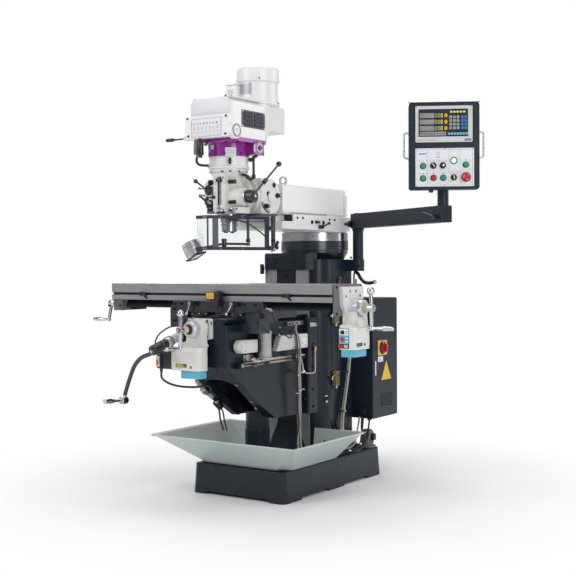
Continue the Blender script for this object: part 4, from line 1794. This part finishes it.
p = Piece("oil_pipes", "knee", "ground_steel").m("copper")
p.tube([(186, -208, 605), (186, -160, 622), (186, -120, 612), (186, -70, 608), (186, -44, 610), (186, -38, 622), (186, -37, 700), (186, -37, 736)], 4.0, 12, 8)
p.m("brass")
p.cyl((186, -37, 728), (186, -37, 746), 9, 8, 1.5)
p.hexa((186, -37, 722), (186, -37, 730), 9)
p.m("zinc")
p.hexa((186, -160, 616), (186, -142, 626), 7.5)
p.cyl((186, -152, 622), (186, -158, 662), 5.5, 4.5)
p.m("copper")
p.tube([(186, -156, 646), (184, -160, 676), (178, -172, 700)], 3.6, 12, 8)
p.done()

# grey conduits and thin cables hanging down the flank, which fold as the knee rises and falls
p = Piece("flank_conduit_top", "knee", "readout_plastic").m("hose_grey")
p.tube([(141, -196, 874), (162, -197, 876), (178, -206, 866), (184, -216, 838), (182, -208, 790), (184, -200, 740), (186, -196, 690), (184, -192, 640), (184, -192, 560), (182, -190, 500)], 5.6, 14, 8)
p.tube([(186, -218, 838), (188, -196, 806), (190, -186, 760), (190, -184, 700), (190, -186, 640), (190, -184, 560), (188, -182, 500)], 4.6, 12, 8)
p.m("cable")
p.tube([(184, -220, 836), (190, -214, 796), (192, -210, 740), (192, -206, 690), (192, -214, 640), (190, -210, 590), (188, -202, 540), (186, -198, 500)], 3.0, 10, 8)
p.tube([(186, -222, 760), (190, -226, 700), (190, -222, 640), (188, -232, 590), (186, -214, 540)], 2.4, 10, 8)
p.m("label")
for (y, z) in ((-196, 700), (-190, 528), (-206, 516)):
    p.tube([(188 + 11 * cos(a), y + 11 * sin(a), z) for i, a in enumerate([2 * pi * k / 14 for k in range(14)])], 1.8, 8, 0, closed=True)
p.tube([(196, -190, 528), (202, -178, 536), (208, -170, 532)], 1.6, 8, 4)
p.m("zinc")
p.cyl((141, -196, 874), (160, -196, 875), 8, 8)
p.done()

def down(name, mat, slotn, pts, r, ribs=0.0):
    """hose from the knee to the base that stretches between the two"""
    q = Piece(name, "", slotn).m(mat)
    q.tube(pts, r, 12, 10, ribs=ribs)
    ob = q.done()
    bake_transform(ob)
    return ob


down("flank_conduit_low_a", "hose_grey", "readout_plastic", [(182, -190, 500), (182, -188, 420), (182, -192, 340), (184, -200, 268), (190, -206, 214)], 5.6)
down("flank_conduit_low_b", "hose_grey", "readout_plastic", [(188, -182, 500), (188, -180, 420), (188, -184, 340), (196, -192, 262), (206, -196, 216)], 4.6)
down("flank_cable_low", "cable", "black_plastic", [(186, -198, 500), (186, -202, 430), (188, -196, 350), (180, -208, 280), (172, -216, 214)], 3.0)

p = Piece("knee_side_steel", "knee", "ground_steel").m("zinc")
p.box(178.2, 186, -82, -14, 852, 872, 1.5)
p.m("steel_z")
p.box(141, 152, -240, -92, 864, 884, 1.5)
p.m("blackox")
for y in (-226, -160, -104):
    p.socket((152, y, 874), (1, 0, 0), 5, 4)
for z in (430, 520, 640, 760):
    p.socket((178, -46, z), (1, 0, 0), 7, 5)
    p.socket((-178, -46, z), (-1, 0, 0), 7, 5)
for s in (-1, 1):
    p.hexbolt((s * 150, -88, 470), (0, -1, 0), 10, 8)
    p.hexbolt((s * 150, -88, 700), (0, -1, 0), 10, 8)
p.done()

# gib wipers on top and below the knee jaws
p = Piece("knee_wipers", "knee", "black_plastic").m("wiper")
for s in (-1, 1):
    p.box(min(s * 141, s * 176), max(s * 141, s * 176), -84, -6, 888, 896, 1.5)
p.m("dark")
for s in (-1, 1):
    p.box(min(s * 141, s * 172), max(s * 141, s * 172), -80, -8, 896, 899, 1)
p.done()

p = Piece("knee_crank_gear_boss", "knee", "dark_casting").m("dark2")
cs, cd = Vector((-119.8, -742, 843.1)), Vector((-0.0942588, -0.942588, -0.3203797)).normalized()
p.ring(cs + cd * 2, cd, [(18.2, 0), (18.2, 16), (29, 16), (33, 10), (34, 0)], 36)
p.m("blackox")
for a in (20, 140, 260):
    x_ = cd.orthogonal().normalized()
    y_ = cd.cross(x_)
    q = cs + cd * 17 + (x_ * cos(radians(a)) + y_ * sin(radians(a))) * 25
    p.socket(q, cd, 3.6, 3)
p.done()
H0_ = Vector((-138.6, -930.0, 779.2))
p = Piece("knee_crank_collar", "knee_crank", "chrome_handles").m("zinc")
p.ring(H0_ - cd * 108, cd, [(17.1, 0), (24, 1.5), (27.5, 6), (28.5, 22), (27.5, 32), (24, 35), (20, 36), (17.1, 30)], 48)
p.m("dialc")
p.ring(H0_ - cd * 176, cd, [(17.1, 0), (20.5, 2), (22.5, 60), (22.5, 67), (17.1, 67)], 40)
p.m("black")
p.ring(H0_ - cd * 74, cd, [(19, 0), (22, 2), (22, 20), (25, 24), (25, 34), (22, 40), (19, 40)], 40)
p.m("knurl")
for k in range(12):
    a = 2 * pi * k / 12
    x_ = cd.orthogonal().normalized()
    y_ = cd.cross(x_)
    q = H0_ - cd * 62 + (x_ * cos(a) + y_ * sin(a)) * 22.4
    p.obox(q, (3.4, 3.2, 14), x_ * cos(a) + y_ * sin(a), (x_ * -sin(a) + y_ * cos(a)), 0.8)
p.m("zinc")
p.lathe(H0_ + cd * 30, cd, [(8, -2), (8, 1), (6, 2.4), (0, 2.8)], 24)
p.done()

# ================================================================ column, tray, base
p = Piece("column_apron_wiper", "root", "black_plastic").m("wiper")
p.box(-150, -139.5, -58, -36, 1130, 1170, 2)
p.m("rubber")
p.box(-152, -136, -62, -44.2, 1128, 1182, 3)
p.m("blackox")
for x in (-60, 60):
    p.socket((x, -44, 1195), (0, -1, 0), 8, 6)
p.socket((-8, -30, 1120), (0, -1, 0), 5, 4)
p.done()

p = Piece("column_limit_switches", "root", "guard_black")
for z in (904, 568):
    p.m("olive")
    p.box(185.2, 214, 130, 166, z - 44, z + 34, 3)
    p.m("brownst")
    p.box(214, 217, 136, 160, z - 36, z + 26, 1)
    p.m("brass")
    p.cyl((200, 130, z + 12), (200, 118, z + 12), 8, 8)
    p.m("chrome")
    p.cyl((200, 120, z + 8), (200, 106, z - 2), 3.4, 3.4)
    p.cyl((193, 104, z - 3), (207, 104, z - 3), 8, 8)
    p.m("zinc")
    for dz in (-36, 26):
        p.panhead((214, 148, z + dz), (1, 0, 0), 3, 1.8)
    p.cyl((200, 150, z - 44), (200, 150, z - 60), 8, 7)
p.m("cable")
p.tube([(200, 150, 508), (206, 138, 488), (204, 110, 466), (198, 74, 452), (192, 60, 440)], 3.4, 12, 8)
p.tube([(200, 150, 844), (208, 156, 800), (206, 160, 700), (204, 156, 620)], 3.4, 12, 8)
p.m("zinc")
p.cyl((196, 66, 446), (188, 58, 440), 7, 7)
p.done()

p = Piece("column_conduit", "root", "readout_plastic").m("hose_grey")
p.tube([(206, 330, 1098), (208, 334, 1000), (206, 322, 880), (206, 300, 770), (206, 272, 660), (206, 246, 540), (204, 216, 420), (202, 196, 320), (208, 178, 250)], 6.6, 14, 10)
p.tube([(218, 332, 1098), (220, 334, 1000), (218, 318, 880), (218, 296, 770), (218, 266, 660), (218, 240, 540), (216, 212, 420), (214, 194, 320), (220, 184, 250)], 6.0, 14, 10)
p.m("zinc")
for (y, z) in ((318, 880), (252, 590), (204, 380)):
    p.box(186, 226, y - 9, y + 9, z - 5, z + 5, 2)
p.m("cable")
p.tube([(206, 330, 1098), (212, 322, 1120), (222, 316, 1142)], 5, 12, 6)
p.done()
p = Piece("column_hook_handle", "root", "black_handles").m("black")
p.tube([(224, 322, 1136), (244, 314, 1124), (262, 310, 1100), (286, 310, 1080), (314, 314, 1075), (340, 318, 1080)], 9.5, 16, 8)
p.m("zinc")
p.lathe((340, 318, 1080), (1, 0.1, 0.3), [(9.6, -3), (11, 0), (11, 8), (9, 13), (0, 15)], 24)
p.done()

p = Piece("column_covers", "root", "dark_casting").m("dark")
p.box(185.1, 191, 190, 300, 980, 1110, 5)
p.box(-191, -185.1, 120, 300, 560, 900, 6)
p.m("blackox")
for y in (202, 288):
    for z in (992, 1098):
        p.socket((191, y, z), (1, 0, 0), 5, 3.5)
for y in (134, 286):
    for z in (576, 884):
        p.socket((-191, y, z), (-1, 0, 0), 5, 3.5)
p.m("label")
p.box(185.05, 186.4, 60, 84, 470, 476, 0.4, 1)
p.m("inkgrey")
for (y, z) in ((96, 604), (112, 604), (96, 584), (112, 584)):
    p.panhead((185.1, y, z), (1, 0, 0), 3.2, 2)
p.done()

p = Piece("pole_bracket_bolts", "root", "dark_casting").m("blackox")
for z in (1170, 1215):
    p.socket((214, 290, z), (0, -1, 0), 6, 4)
    p.socket((262, 292, z), (0, -1, 0), 6, 4)
p.done()

# splash lip, drain strainer, bolts and swarf screen in the tray
p = Piece("tray_trim", "root", "tray_enamel").m("tray")
pts = [(-446.5, -623.5, 304), (446.5, -623.5, 304), (446.5, 32, 304), (300, 32, 304)]
p.tube(pts, 3.4, 10, 0)
p.tube([(-446.5, -623.5, 304), (-446.5, 32, 304), (-300, 32, 304)], 3.4, 10, 0)
p.m("zinc")
p.ring((-110, -60, 176.5), (0, 0, 1), [(4, 0), (4, 1.6), (22, 1.6), (26, 0)], 32)
p.m("ink")
for k in range(8):
    a = 2 * pi * k / 8
    p.cyl((-110 + 14 * cos(a), -60 + 14 * sin(a), 177.6), (-110 + 14 * cos(a), -60 + 14 * sin(a), 178.5), 2.6, 2.6, 0.2, 12)
p.done()

p = Piece("base_fittings", "root", "dark_casting").m("blackox")
for x in (-238, 238):
    for y in (-430, 430):
        p.hexbolt((x, y, 155.5), (0, 0, 1), 13, 10)
for x in (-150, 150):
    p.socket((x, 330, 155.2), (0, 0, 1), 9, 7)
p.m("cable")
p.tube([(262, 330, 330), (270, 300, 250), (282, 250, 190), (262, 180, 166), (240, 120, 162), (262, 60, 164), (250, -20, 163)], 5, 12, 10)
p.tube([(240, 350, 330), (252, 330, 260), (300, 290, 200), (286, 210, 168), (250, 190, 164), (232, 240, 166), (270, 290, 172), (300, 250, 170)], 4.2, 12, 10)
p.m("hose_grey")
p.tube([(220, 360, 330), (226, 320, 240), (236, 270, 186), (214, 210, 168), (206, 150, 164)], 5, 12, 10)
p.m("zinc")
for (x, y, z) in ((284, 262, 196), (262, 186, 168)):
    p.cyl((x - 5, y - 5, z), (x + 5, y + 5, z + 2), 7.5, 7.5)
p.done()

p = Piece("coolant_pump", "root", "sheet_dark").m("pump")
p.lathe((236, 420, 155.3), (0, 0, 1), [(44, 0), (46, 2), (46, 10), (40, 13), (33, 16), (33, 84), (30, 92), (22, 98), (0, 98)], 36)
for k in range(14):
    a = 2 * pi * k / 14
    p.obox((236 + 33.6 * cos(a), 420 + 33.6 * sin(a), 208), (3.4, 2.4, 60), (cos(a), sin(a), 0), (-sin(a), cos(a), 0), 0.6)
p.m("blackp")
p.box(262, 284, 404, 436, 196, 232, 4)
p.m("rubber")
p.tube([(206, 400, 168), (196, 360, 172), (200, 300, 176), (210, 240, 190), (206, 180, 240), (202, 140, 330)], 7, 12, 10, ribs=0.08)
p.m("zinc")
p.hexa((210, 404, 168), (202, 394, 168), 9)
p.done()

# ================================================================ electrical cabinet
p = Piece("cabinet_trim", "root", "sheet_dark").m("sheet")
p.box(-303, 303, 371, 634, 986, 989, 1.4)
p.m("yellow")
p.box(300.1, 303.5, 428, 528, 668, 752, 2.5)
p.m("label")
p.box(300.1, 301.6, 430, 486, 632, 662, 0.6)
p.box(300.1, 301.4, 398, 408, 560, 640, 0.4)
p.m("blackp")
p.prism([(460, 525), (584, 525), (522, 643)], "x", 299.8, 300.7, 0)
p.m("yellow")
p.prism([(466, 528.5), (578, 528.5), (522, 635)], "x", 300.5, 301.3, 0)
p.m("inkgrey")
for k in range(3):
    p.box(301.6, 302.0, 436, 480 - 10 * k, 638 + k * 7, 640 + k * 7, 0.1, 1)
p.m("blackp")
p.ring((303.5, 478, 711), (1, 0, 0), [(20, 0), (20, 3), (34, 3), (38, 1.5), (38.5, 0)], 48)
p.m("label")
for a in (0, 90):
    c, s = cos(radians(a)), sin(radians(a))
    p.obox((306.9, 478 + 30 * c, 711 + 30 * s), (0.7, 8, 8), (1, 0, 0), (0, c, s), 0.2)
p.m("zinc")
for y in (434, 522):
    for z in (674, 746):
        p.panhead((303.5, y, z), (1, 0, 0), 2.8, 1.6)
p.m("sheet")
# louvres low on the flank
for k in range(5):
    z = 380 + k * 16
    p.prism([(300, z + 9), (305.5, z + 1), (305.5, z - 1.5), (303.6, z - 1.5), (300, z + 5)], "y", 470, 590, 0.4, 1)
    p.prism([(-300, z + 9), (-305.5, z + 1), (-305.5, z - 1.5), (-303.6, z - 1.5), (-300, z + 5)], "y", 420, 560, 0.4, 1)
p.m("blackp")
for k, x in enumerate((-200, -140, -80)):
    p.cyl((x, 500, 321), (x, 500, 306), 16, 14, 2)
    p.hexa((x, 500, 321), (x, 500, 313), 20)
p.cyl((250, 420, 321), (250, 420, 306), 14, 12, 2)
p.m("cable")
p.tube([(-200, 500, 308), (-200, 496, 260), (-190, 440, 200), (-170, 395, 172), (-120, 380, 163)], 6, 12, 8)
p.tube([(-140, 500, 308), (-138, 490, 250), (-120, 440, 190), (-100, 400, 166), (-60, 388, 162)], 5, 12, 8)
p.tube([(250, 420, 308), (252, 405, 270), (262, 380, 220), (262, 345, 186), (258, 320, 168)], 5, 12, 8)
p.m("sheet")
for x in (-240, 240):
    p.box(x - 20, x + 20, 352, 373, 940, 976, 3)
    p.box(x - 20, x + 20, 352, 373, 340, 376, 3)
p.done()

p = Piece("cabinet_switch_grip", "main_switch", "red_plastic").m("red")
lo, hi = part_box("main_switch_knob")
xk = hi.x / S
p.prism(rrect(478, 711, 14, 40, 4), "x", xk - 4, xk + 5, 1.6)
p.m("label")
p.box(xk + 4.7, xk + 5.5, 476.8, 479.2, 718, 728, 0.2, 1)
p.done()

p = Piece("cabinet_door_fittings", "cabinet_door", "sheet_dark").m("sheet")
p.box(-286, 286, 650, 651.6, 336, 971, 1.4)
p.m("blackp")
p.prism(rrect(240, 650, 30, 108, 8), "y", 651, 655.5, 1.6)
p.m("chrome")
p.lathe((240, 655, 622), (0, 1, 0), [(9, 0), (9, 2.5), (6, 3.2), (0, 3.2)], 28)
p.m("ink")
p.box(238.8, 241.2, 657.6, 658.6, 616, 628, 0.1, 1)
p.m("zinc")
for x in (-272, 272):
    for z in (352, 955):
        p.panhead((x, 651.6, z), (0, 1, 0), 4, 2.2)
p.m("sheet")
for k in range(7):
    z = 400 + k * 18
    p.prism([(651, z + 10), (656.5, z + 1), (656.5, z - 2), (654.5, z - 2), (651, z + 5)], "x", -110, 110, 0.4, 1)
p.m("label")
p.prism(rrect(0, 860, 120, 70, 4), "y", 651.4, 652.2, 0.2)
p.m("inkgrey")
for k in range(4):
    p.box(-46, 40 - 14 * (k % 2), 652.0, 652.5, 840 + k * 12, 842.4 + k * 12, 0.1, 1)
p.m("rubber")
p.tube([(-284, 649.2, 338), (284, 649.2, 338), (284, 649.2, 969), (-284, 649.2, 969)], 1.4, 8, 0, closed=True)
p.done()

# switchgear on the mounting plate inside
p = Piece("switchgear", "root", "black_plastic").m("silver")
p.box(-262, 262, 376, 379, 350, 955, 1)
p.m("zinc")
for z in (420, 600, 780):
    p.box(-240, 240, 379, 387, z - 17, z + 17, 1)
    p.box(-240, 240, 387, 389, z - 17, z - 12, 0.6)
    p.box(-240, 240, 387, 389, z + 12, z + 17, 0.6)
p.m("readout")
for k, x in enumerate((-220, -160, -100, -40)):
    p.box(x, x + 46, 389, 462, 742, 818, 3)
for k, x in enumerate((40, 84, 128, 172)):
    p.box(x, x + 40, 389, 450, 748, 812, 3)
p.m("blackp")
for x in (-220, -160, -100, -40):
    p.box(x + 8, x + 38, 460, 474, 762, 798, 2)
for x in (40, 84, 128, 172):
    p.box(x + 14, x + 26, 450, 464, 774, 790, 1.5)
p.box(-210, -50, 389, 490, 540, 668, 5)
p.m("pump")
p.box(60, 200, 389, 478, 536, 670, 4)
p.m("copper")
for x in (86, 130, 174):
    p.cyl((x, 434, 560), (x, 434, 646), 20, 20, 3)
p.m("green")
for k in range(16):
    p.box(-226 + k * 14, -214 + k * 14, 389, 430, 396, 444, 1)
p.m("keygrey")
for k in range(10):
    p.box(20 + k * 16, 34 + k * 16, 389, 436, 392, 448, 1)
p.m("readout")
for z0 in (470, 690, 870):
    p.box(-250, 250, 379, 430, z0, z0 + 34, 2)
p.box(-262, -240, 379, 430, 360, 930, 2)
p.m("cable")
for k in range(6):
    x = -200 + k * 60
    p.tube([(x, 440, 742), (x + 4, 456, 724), (x + 6, 450, 706), (x + 4, 425, 704)], 2.2, 8, 5)
    p.tube([(x + 20, 420, 448), (x + 22, 440, 458), (x + 20, 432, 470), (x + 18, 418, 474)], 2.2, 8, 5)
p.done()

# ================================================================ pendant
p = Piece("pole_collar", "root", "pendant_paint").m("pendant")
p.ring((240, 320, 1362), (0, 0, 1), [(29.05, 0), (33, 1), (33, 11), (31, 12.9), (29.05, 12.9)], 48)
p.m("blackox")
for a in (-120, -30, 60, 150):
    c, s = cos(radians(a)), sin(radians(a))
    p.socket((240 + c * 33, 320 + s * 33, 1368), (c, s, 0), 3.4, 2.4)
p.done()

p = Piece("arm_end_details", "pendant_arm", "pendant_paint").m("pendant")
an_ = Vector((975 - 240, -122 - 320, 0)).normalized()
for (q, zz) in ((Vector((240, 320, 0)), 1455),):
    p.lathe((q.x, q.y, zz), (0, 0, 1), [(26, 0), (26, 2.4), (22, 4.4), (0, 4.8)], 40)
p.m("blackox")
for d in (60, 700):
    q = Vector((240, 320, 0)) + an_ * d
    p.panhead((q.x, q.y, 1455), (0, 0, 1), 4, 2.2)
p.done()

PT = Matrix.Translation((975, -122, 0)) @ Matrix.Rotation(radians(30), 4, "Z")
p = Piece("pendant_handles", "pendant", "lamp_alloy").m("alloy").at(PT)
for s in (-1, 1):
    x = s * 165
    p.tube([(x - s * 1, -60, 1796), (x + s * 10, -60, 1796), (x + s * 19, -60, 1793), (x + s * 22, -60, 1784), (x + s * 22, -60, 1740), (x + s * 22, -60, 1690), (x + s * 19, -60, 1680), (x + s * 10, -60, 1677), (x - s * 1, -60, 1677)], 5.2, 14, 6)
    for z in (1796, 1677):
        p.ring((x, -60, z), (s, 0, 0), [(5.3, 0), (5.3, 2.6), (9, 2.6), (10, 0)], 28)
p.done()

# readout: screen bezel, three rows of digits, keypads
p = Piece("readout_face", "pendant", "readout_plastic").at(PT)
Y = -103.0
p.m("screen")
p.box(-119.4, 110.8, -100.4, -99.1, 1773.4, 1901.6, 0.3, 1)
p.m("keygrey")
for z in (1872, 1842, 1812):
    p.box(-114, -46, -102.0, -100.2, z - 11, z + 11, 1)
p.m("screen")
for z in (1872, 1842, 1812):
    p.box(-44, -6, -101.6, -100.2, z - 11, z + 11, 0.6)
SEG = {"0": "abcdef", "1": "bc", "2": "abged", "3": "abgcd", "4": "fgbc", "5": "afgcd", "6": "afgecd", "7": "abc", "8": "abcdefg", "9": "abcfgd"}


def digit(pc, ch, cx, cz, w, h, y, on, off):
    t = w * 0.17
    a = {"a": (cx - w / 2 + t, cx + w / 2 - t, cz + h / 2 - t, cz + h / 2), "g": (cx - w / 2 + t, cx + w / 2 - t, cz - t / 2, cz + t / 2),
         "d": (cx - w / 2 + t, cx + w / 2 - t, cz - h / 2, cz - h / 2 + t), "f": (cx - w / 2, cx - w / 2 + t, cz + t * 0.4, cz + h / 2 - t * 0.4),
         "b": (cx + w / 2 - t, cx + w / 2, cz + t * 0.4, cz + h / 2 - t * 0.4), "e": (cx - w / 2, cx - w / 2 + t, cz - h / 2 + t * 0.4, cz - t * 0.4),
         "c": (cx + w / 2 - t, cx + w / 2, cz - h / 2 + t * 0.4, cz - t * 0.4)}
    for k, (x0, x1, z0, z1) in a.items():
        if k in SEG[ch]:
            pc.m(on)
            pc.box(x0, x1, y - 0.7, y, z0, z1, 0.15, 1)


for r, (z, s1) in enumerate(((1872, "00000"), (1842, "00000"), (1812, "00000"))):
    for k in range(5):
        digit(p, "8", -108 + k * 13.4, z, 8.6, 16, -102.0, "segoff", None)
    for k in range(3):
        digit(p, s1[k], -37 + k * 12.6, z, 8.6, 16, -101.6, "seg", None)
p.m("amber")
for z in (1872, 1842, 1812):
    p.prism(rrect(8, z, 13, 17, 2), "y", -103.6, -100.2, 1)
p.m("screen")
p.box(22, 106, -101.8, -100.2, 1878, 1898, 0.5, 1)
p.m("seg")
for k in range(5):
    p.box(28 + k * 15, 38 + k * 15, -102.4, -101.7, 1884, 1892, 0.2, 1)
p.m("keygrey")
for i in range(4):
    for j in range(3):
        p.prism(rrect(30 + j * 17, 1864 - i * 17, 13, 13, 2), "y", -103.4, -100.2, 0.9)
p.m("bluedk")
for i in range(4):
    for j in range(2):
        p.prism(rrect(84 + j * 15, 1864 - i * 17, 12, 13, 2), "y", -103.4, -100.2, 0.9)
p.m("ink")
for i in range(4):
    for j in range(3):
        s = "789456123"[i * 3 + j] if i < 3 else ("0", "", "")[j]
        if s:
            p.text(s, (30 + j * 17, -103.6, 1864 - i * 17), (1, 0, 0), (0, 0, 1), 8, 0.3)
p.m("keygrey")
p.box(-114, 8, -101.8, -100.2, 1778, 1796, 0.8)
p.m("blue")
for k in range(7):
    p.prism(rrect(22 + k * 13.6, 1786, 11, 11, 1.6), "y", -103.2, -100.2, 0.8)
p.m("segoff")
for k in range(8):
    p.prism(rrect(-107 + k * 15, 1787, 11, 9, 1.4), "y", -102.8, -101.6, 0.6)
p.m("ink")
p.m("inkgrey")
p.box(-128, -40, -103.5, -103.0, 1757, 1758.4, 0.1, 1)
p.box(94, 126, -103.6, -103.0, 1752, 1762, 0.2, 1)
p.m("zinc")
for x in (-128, 126):
    for z in (1753, 1911):
        p.panhead((x, -103, z), (0, -1, 0), 2.6, 1.5)
p.done()

# control plate: thin dividers, generic ticks round the selectors, indicator lamp
p = Piece("control_plate", "pendant", "pendant_paint").at(PT)
p.m("plate")
cells = [(-134, 139, 1541, 1719)]
YP = -95.0
HOLES = [(-98.5, 1636.6), (-98.5, 1578.3), (-49.7, 1580.7), (-4.4, 1580.7), (100.8, 1641.3), (102, 1583.2), (-50.3, 1638), (44.7, 1582.0), (-6.1, 1638.6)]
# the sheet is cut as horizontal bands with gaps left at the control rows
p.box(-134, 139, YP - 1.6, YP, 1664, 1719.5, 0.5, 1)
p.box(-134, 139, YP - 1.6, YP, 1604, 1617, 0.5, 1)
p.box(-134, 139, YP - 1.6, YP, 1540.5, 1556, 0.5, 1)
for (z0, z1, xs) in ((1617, 1664, (-98.5, -50.3, -6.1, 100.8)), (1556, 1604, (-98.5, -49.7, -4.4, 44.7, 102))):
    xs = sorted(xs)
    left = -134.0
    for x in xs:
        r = 25.5 if x == 102 else 17.5
        p.box(left, x - r, YP - 1.6, YP, z0, z1, 0.4, 1)
        left = x + r
    p.box(left, 139, YP - 1.6, YP, z0, z1, 0.4, 1)
    for x in xs:
        r = 25.5 if x == 102 else 17.5
        # collar plate with a round hole
        zc = [h[1] for h in HOLES if abs(h[0] - x) < 0.3 and z0 < h[1] < z1][0]
        hole = 22.6 if x == 102 else 15.2
        n = 32
        outer = []
        for k in range(n):
            a = 2 * pi * (k + 0.5) / n
            c, s = cos(a), sin(a)
            tx = (r / abs(c)) if abs(c) > 1e-6 else 1e9
            tz = ((z1 - zc) / s) if s > 1e-6 else (((z0 - zc) / s) if s < -1e-6 else 1e9)
            t = min(tx, tz)
            outer.append((x + c * t, zc + s * t))
        inner = [(x + hole * cos(2 * pi * (k + 0.5) / n), zc + hole * sin(2 * pi * (k + 0.5) / n)) for k in range(n)]
        bmq = bmesh.new()
        oF = [bmq.verts.new((a, YP - 1.6, b)) for a, b in outer]
        iF = [bmq.verts.new((a, YP - 1.6, b)) for a, b in inner]
        oB = [bmq.verts.new((a, YP, b)) for a, b in outer]
        iB = [bmq.verts.new((a, YP, b)) for a, b in inner]
        for k in range(n):
            j = (k + 1) % n
            bmq.faces.new((oF[k], oF[j], iF[j], iF[k]))
            bmq.faces.new((oB[k], iB[k], iB[j], oB[j]))
            bmq.faces.new((iF[k], iF[j], iB[j], iB[k]))
            bmq.faces.new((oF[k], oB[k], oB[j], oF[j]))
        p._take(bmq, smooth=False)
p.m("keygrey")
for x in (-78, 22, 74):
    p.box(x - 0.5, x + 0.5, YP - 2.0, YP - 1.5, 1548, 1712, 0, 1)
for z in (1548, 1712):
    p.box(-127, 132, YP - 2.0, YP - 1.5, z - 0.5, z + 0.5, 0, 1)
for x in (-127, 132):
    p.box(x - 0.5, x + 0.5, YP - 2.0, YP - 1.5, 1548, 1712, 0, 1)
p.box(22, 74, YP - 2.0, YP - 1.5, 1606, 1607, 0, 1)
p.m("inkgrey")
# generic pictograms: arc arrows, bars and ticks
for (x, z) in ((-98.5, 1659), (-98.5, 1601), (-49.7, 1603), (-4.4, 1603), (100.8, 1664)):
    p.box(x - 4, x + 4, YP - 2.0, YP - 1.5, z - 0.8, z + 0.8, 0.1, 1)
    p.box(x - 0.8, x + 0.8, YP - 2.0, YP - 1.5, z - 3.6, z + 3.6, 0.1, 1)
for (x, z) in ((-50.3, 1638), (44.7, 1582.0), (-6.1, 1638.6)):
    for a in (50, 90, 130):
        c, s = cos(radians(a)), sin(radians(a))
        p.obox((x + c * 21, YP - 1.8, z + s * 21), (5, 0.5, 1.2), (c, 0, s), (0, 1, 0), 0)
p.m("bluedk")
for k in range(4):
    p.prism([(-118 + k * 9, 1690), (-112 + k * 9, 1690), (-109 + k * 9, 1697), (-115 + k * 9, 1697)], "y", YP - 2.1, YP - 1.5, 0)
p.m("inkgrey")
p.ring((-28, YP - 1.5, 1694), (0, -1, 0), [(6, 0), (6, 0.5), (7.4, 0.5), (7.4, 0)], 28)
p.box(-36, -20, YP - 2.0, YP - 1.5, 1676, 1680, 0.1, 1)
p.m("green")
p.ring((44.7, YP - 1.6, 1660.7), (0, -1, 0), [(11, 0), (11, 4), (14, 5), (17, 3.5), (17.5, 0)], 40)
p.m("lamp")
p.lathe((44.7, YP - 1.6, 1660.7), (0, -1, 0), [(10.8, 0), (10.8, 4), (9, 7), (5, 8.6), (0, 9)], 32)
p.m("zinc")
for x in (-129, 4, 134):
    for z in (1715.4, 1544.6):
        p.panhead((x, YP - 1.6, z), (0, -1, 0), 2.8, 1.6)
p.done()

inw = PT.to_3x3() @ Vector((0, 1, 0))
for nm, (x, z), kind in (("direction_selector", (-50.3, 1638), 1), ("speed_selector", (44.7, 1582.0), 1), ("key_switch", (-6.1, 1638.6), 0),
                         ("start_button", (-98.5, 1636.6), 2), ("coolant_button", (-98.5, 1578.3), 2), ("stop_button", (-49.7, 1580.7), 2),
                         ("feed_button", (-4.4, 1580.7), 2), ("reset_button", (100.8, 1641.3), 2), ("emergency_stop", (102, 1583.2), 3)):
    me_ = nodes[nm].data
    inv = PT.inverted()
    yy = min((inv @ (v.co / S)).y for v in me_.vertices)
    slotn = {1: "black_plastic", 0: "black_plastic", 2: "green_plastic" if nm != "stop_button" else "red_plastic", 3: "red_plastic"}[kind]
    p = Piece(nm + "_face", nm, slotn).at(PT)
    if kind == 1:
        p.m("label")
        a = radians(128 if nm == "direction_selector" else 100)
        p.obox((x, yy - 0.5, z), (20, 1.2, 3.4), (cos(a), 0, sin(a)), (0, 1, 0), 0.4)
    elif kind == 0:
        p.m("chrome")
        p.lathe((x, yy, z), (0, -1, 0), [(5.5, 0), (5.5, 1.0), (4.5, 1.6), (0, 1.6)], 24)
        p.m("ink")
        p.box(x - 0.7, x + 0.7, yy - 1.9, yy - 1.5, z - 3.4, z + 3.4, 0.1, 1)
    elif kind == 2:
        p.m("green" if nm != "stop_button" else "red")
        p.lathe((x, yy, z), (0, -1, 0), [(11, 0), (10.6, 0.5), (7, 0.9), (0, 0.8)], 32)
    else:
        p.m("label")
        for a0 in (20, 140, 260):
            pts = [(x + 14 * cos(radians(a0 + i * 10)), yy - 0.4, z + 14 * sin(radians(a0 + i * 10))) for i in range(6)]
            p.tube(pts, 0.9, 8, 3)
        p.m("red")
        p.lathe((x, yy, z), (0, -1, 0), [(9, -0.5), (8.5, 0.4), (0, 0.8)], 32)
    p.done()
    nmb = nm

# fixed collars round every control
p = Piece("control_collars", "pendant", "lamp_alloy").at(PT)
p.m("pendant")
# pendant case seam, back cover screws, cable gland
p.box(-163, 163, -27, -25.4, 1530, 1930, 1.0)
p.m("zinc")
for x in (-152, 152):
    for z in (1542, 1730, 1918):
        p.panhead((x, -25.4, z), (0, 1, 0), 4, 2.2)
p.m("rubber")
p.cyl((-60, -60, 1526.5), (-60, -60, 1514), 12, 10, 2)
p.m("pendant")
p.box(-167, 167, -97.2, -93.0, 1932, 1936, 1.2)
p.m("blackox")
for x in (-157, 157):
    for z in (1533, 1927):
        p.panhead((x, -95.05, z), (0, -1, 0), 3.4, 1.8)
p.done()

p = Piece("clamp_lever_grip", "pendant_clamp", "black_handles").m("black")
lo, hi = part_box("pendant_clamp_lever")
c = (Vector(lo) + Vector(hi)) / 2 / S
hv = [v.co / S for v in nodes["pendant_clamp_lever"].data.vertices]
far = max(hv, key=lambda v: (v - c).length)
p.lathe(far, (far - c), [(2, -4), (5.5, -2), (6.5, 1), (4.5, 4), (0, 5)], 20)
p.done()
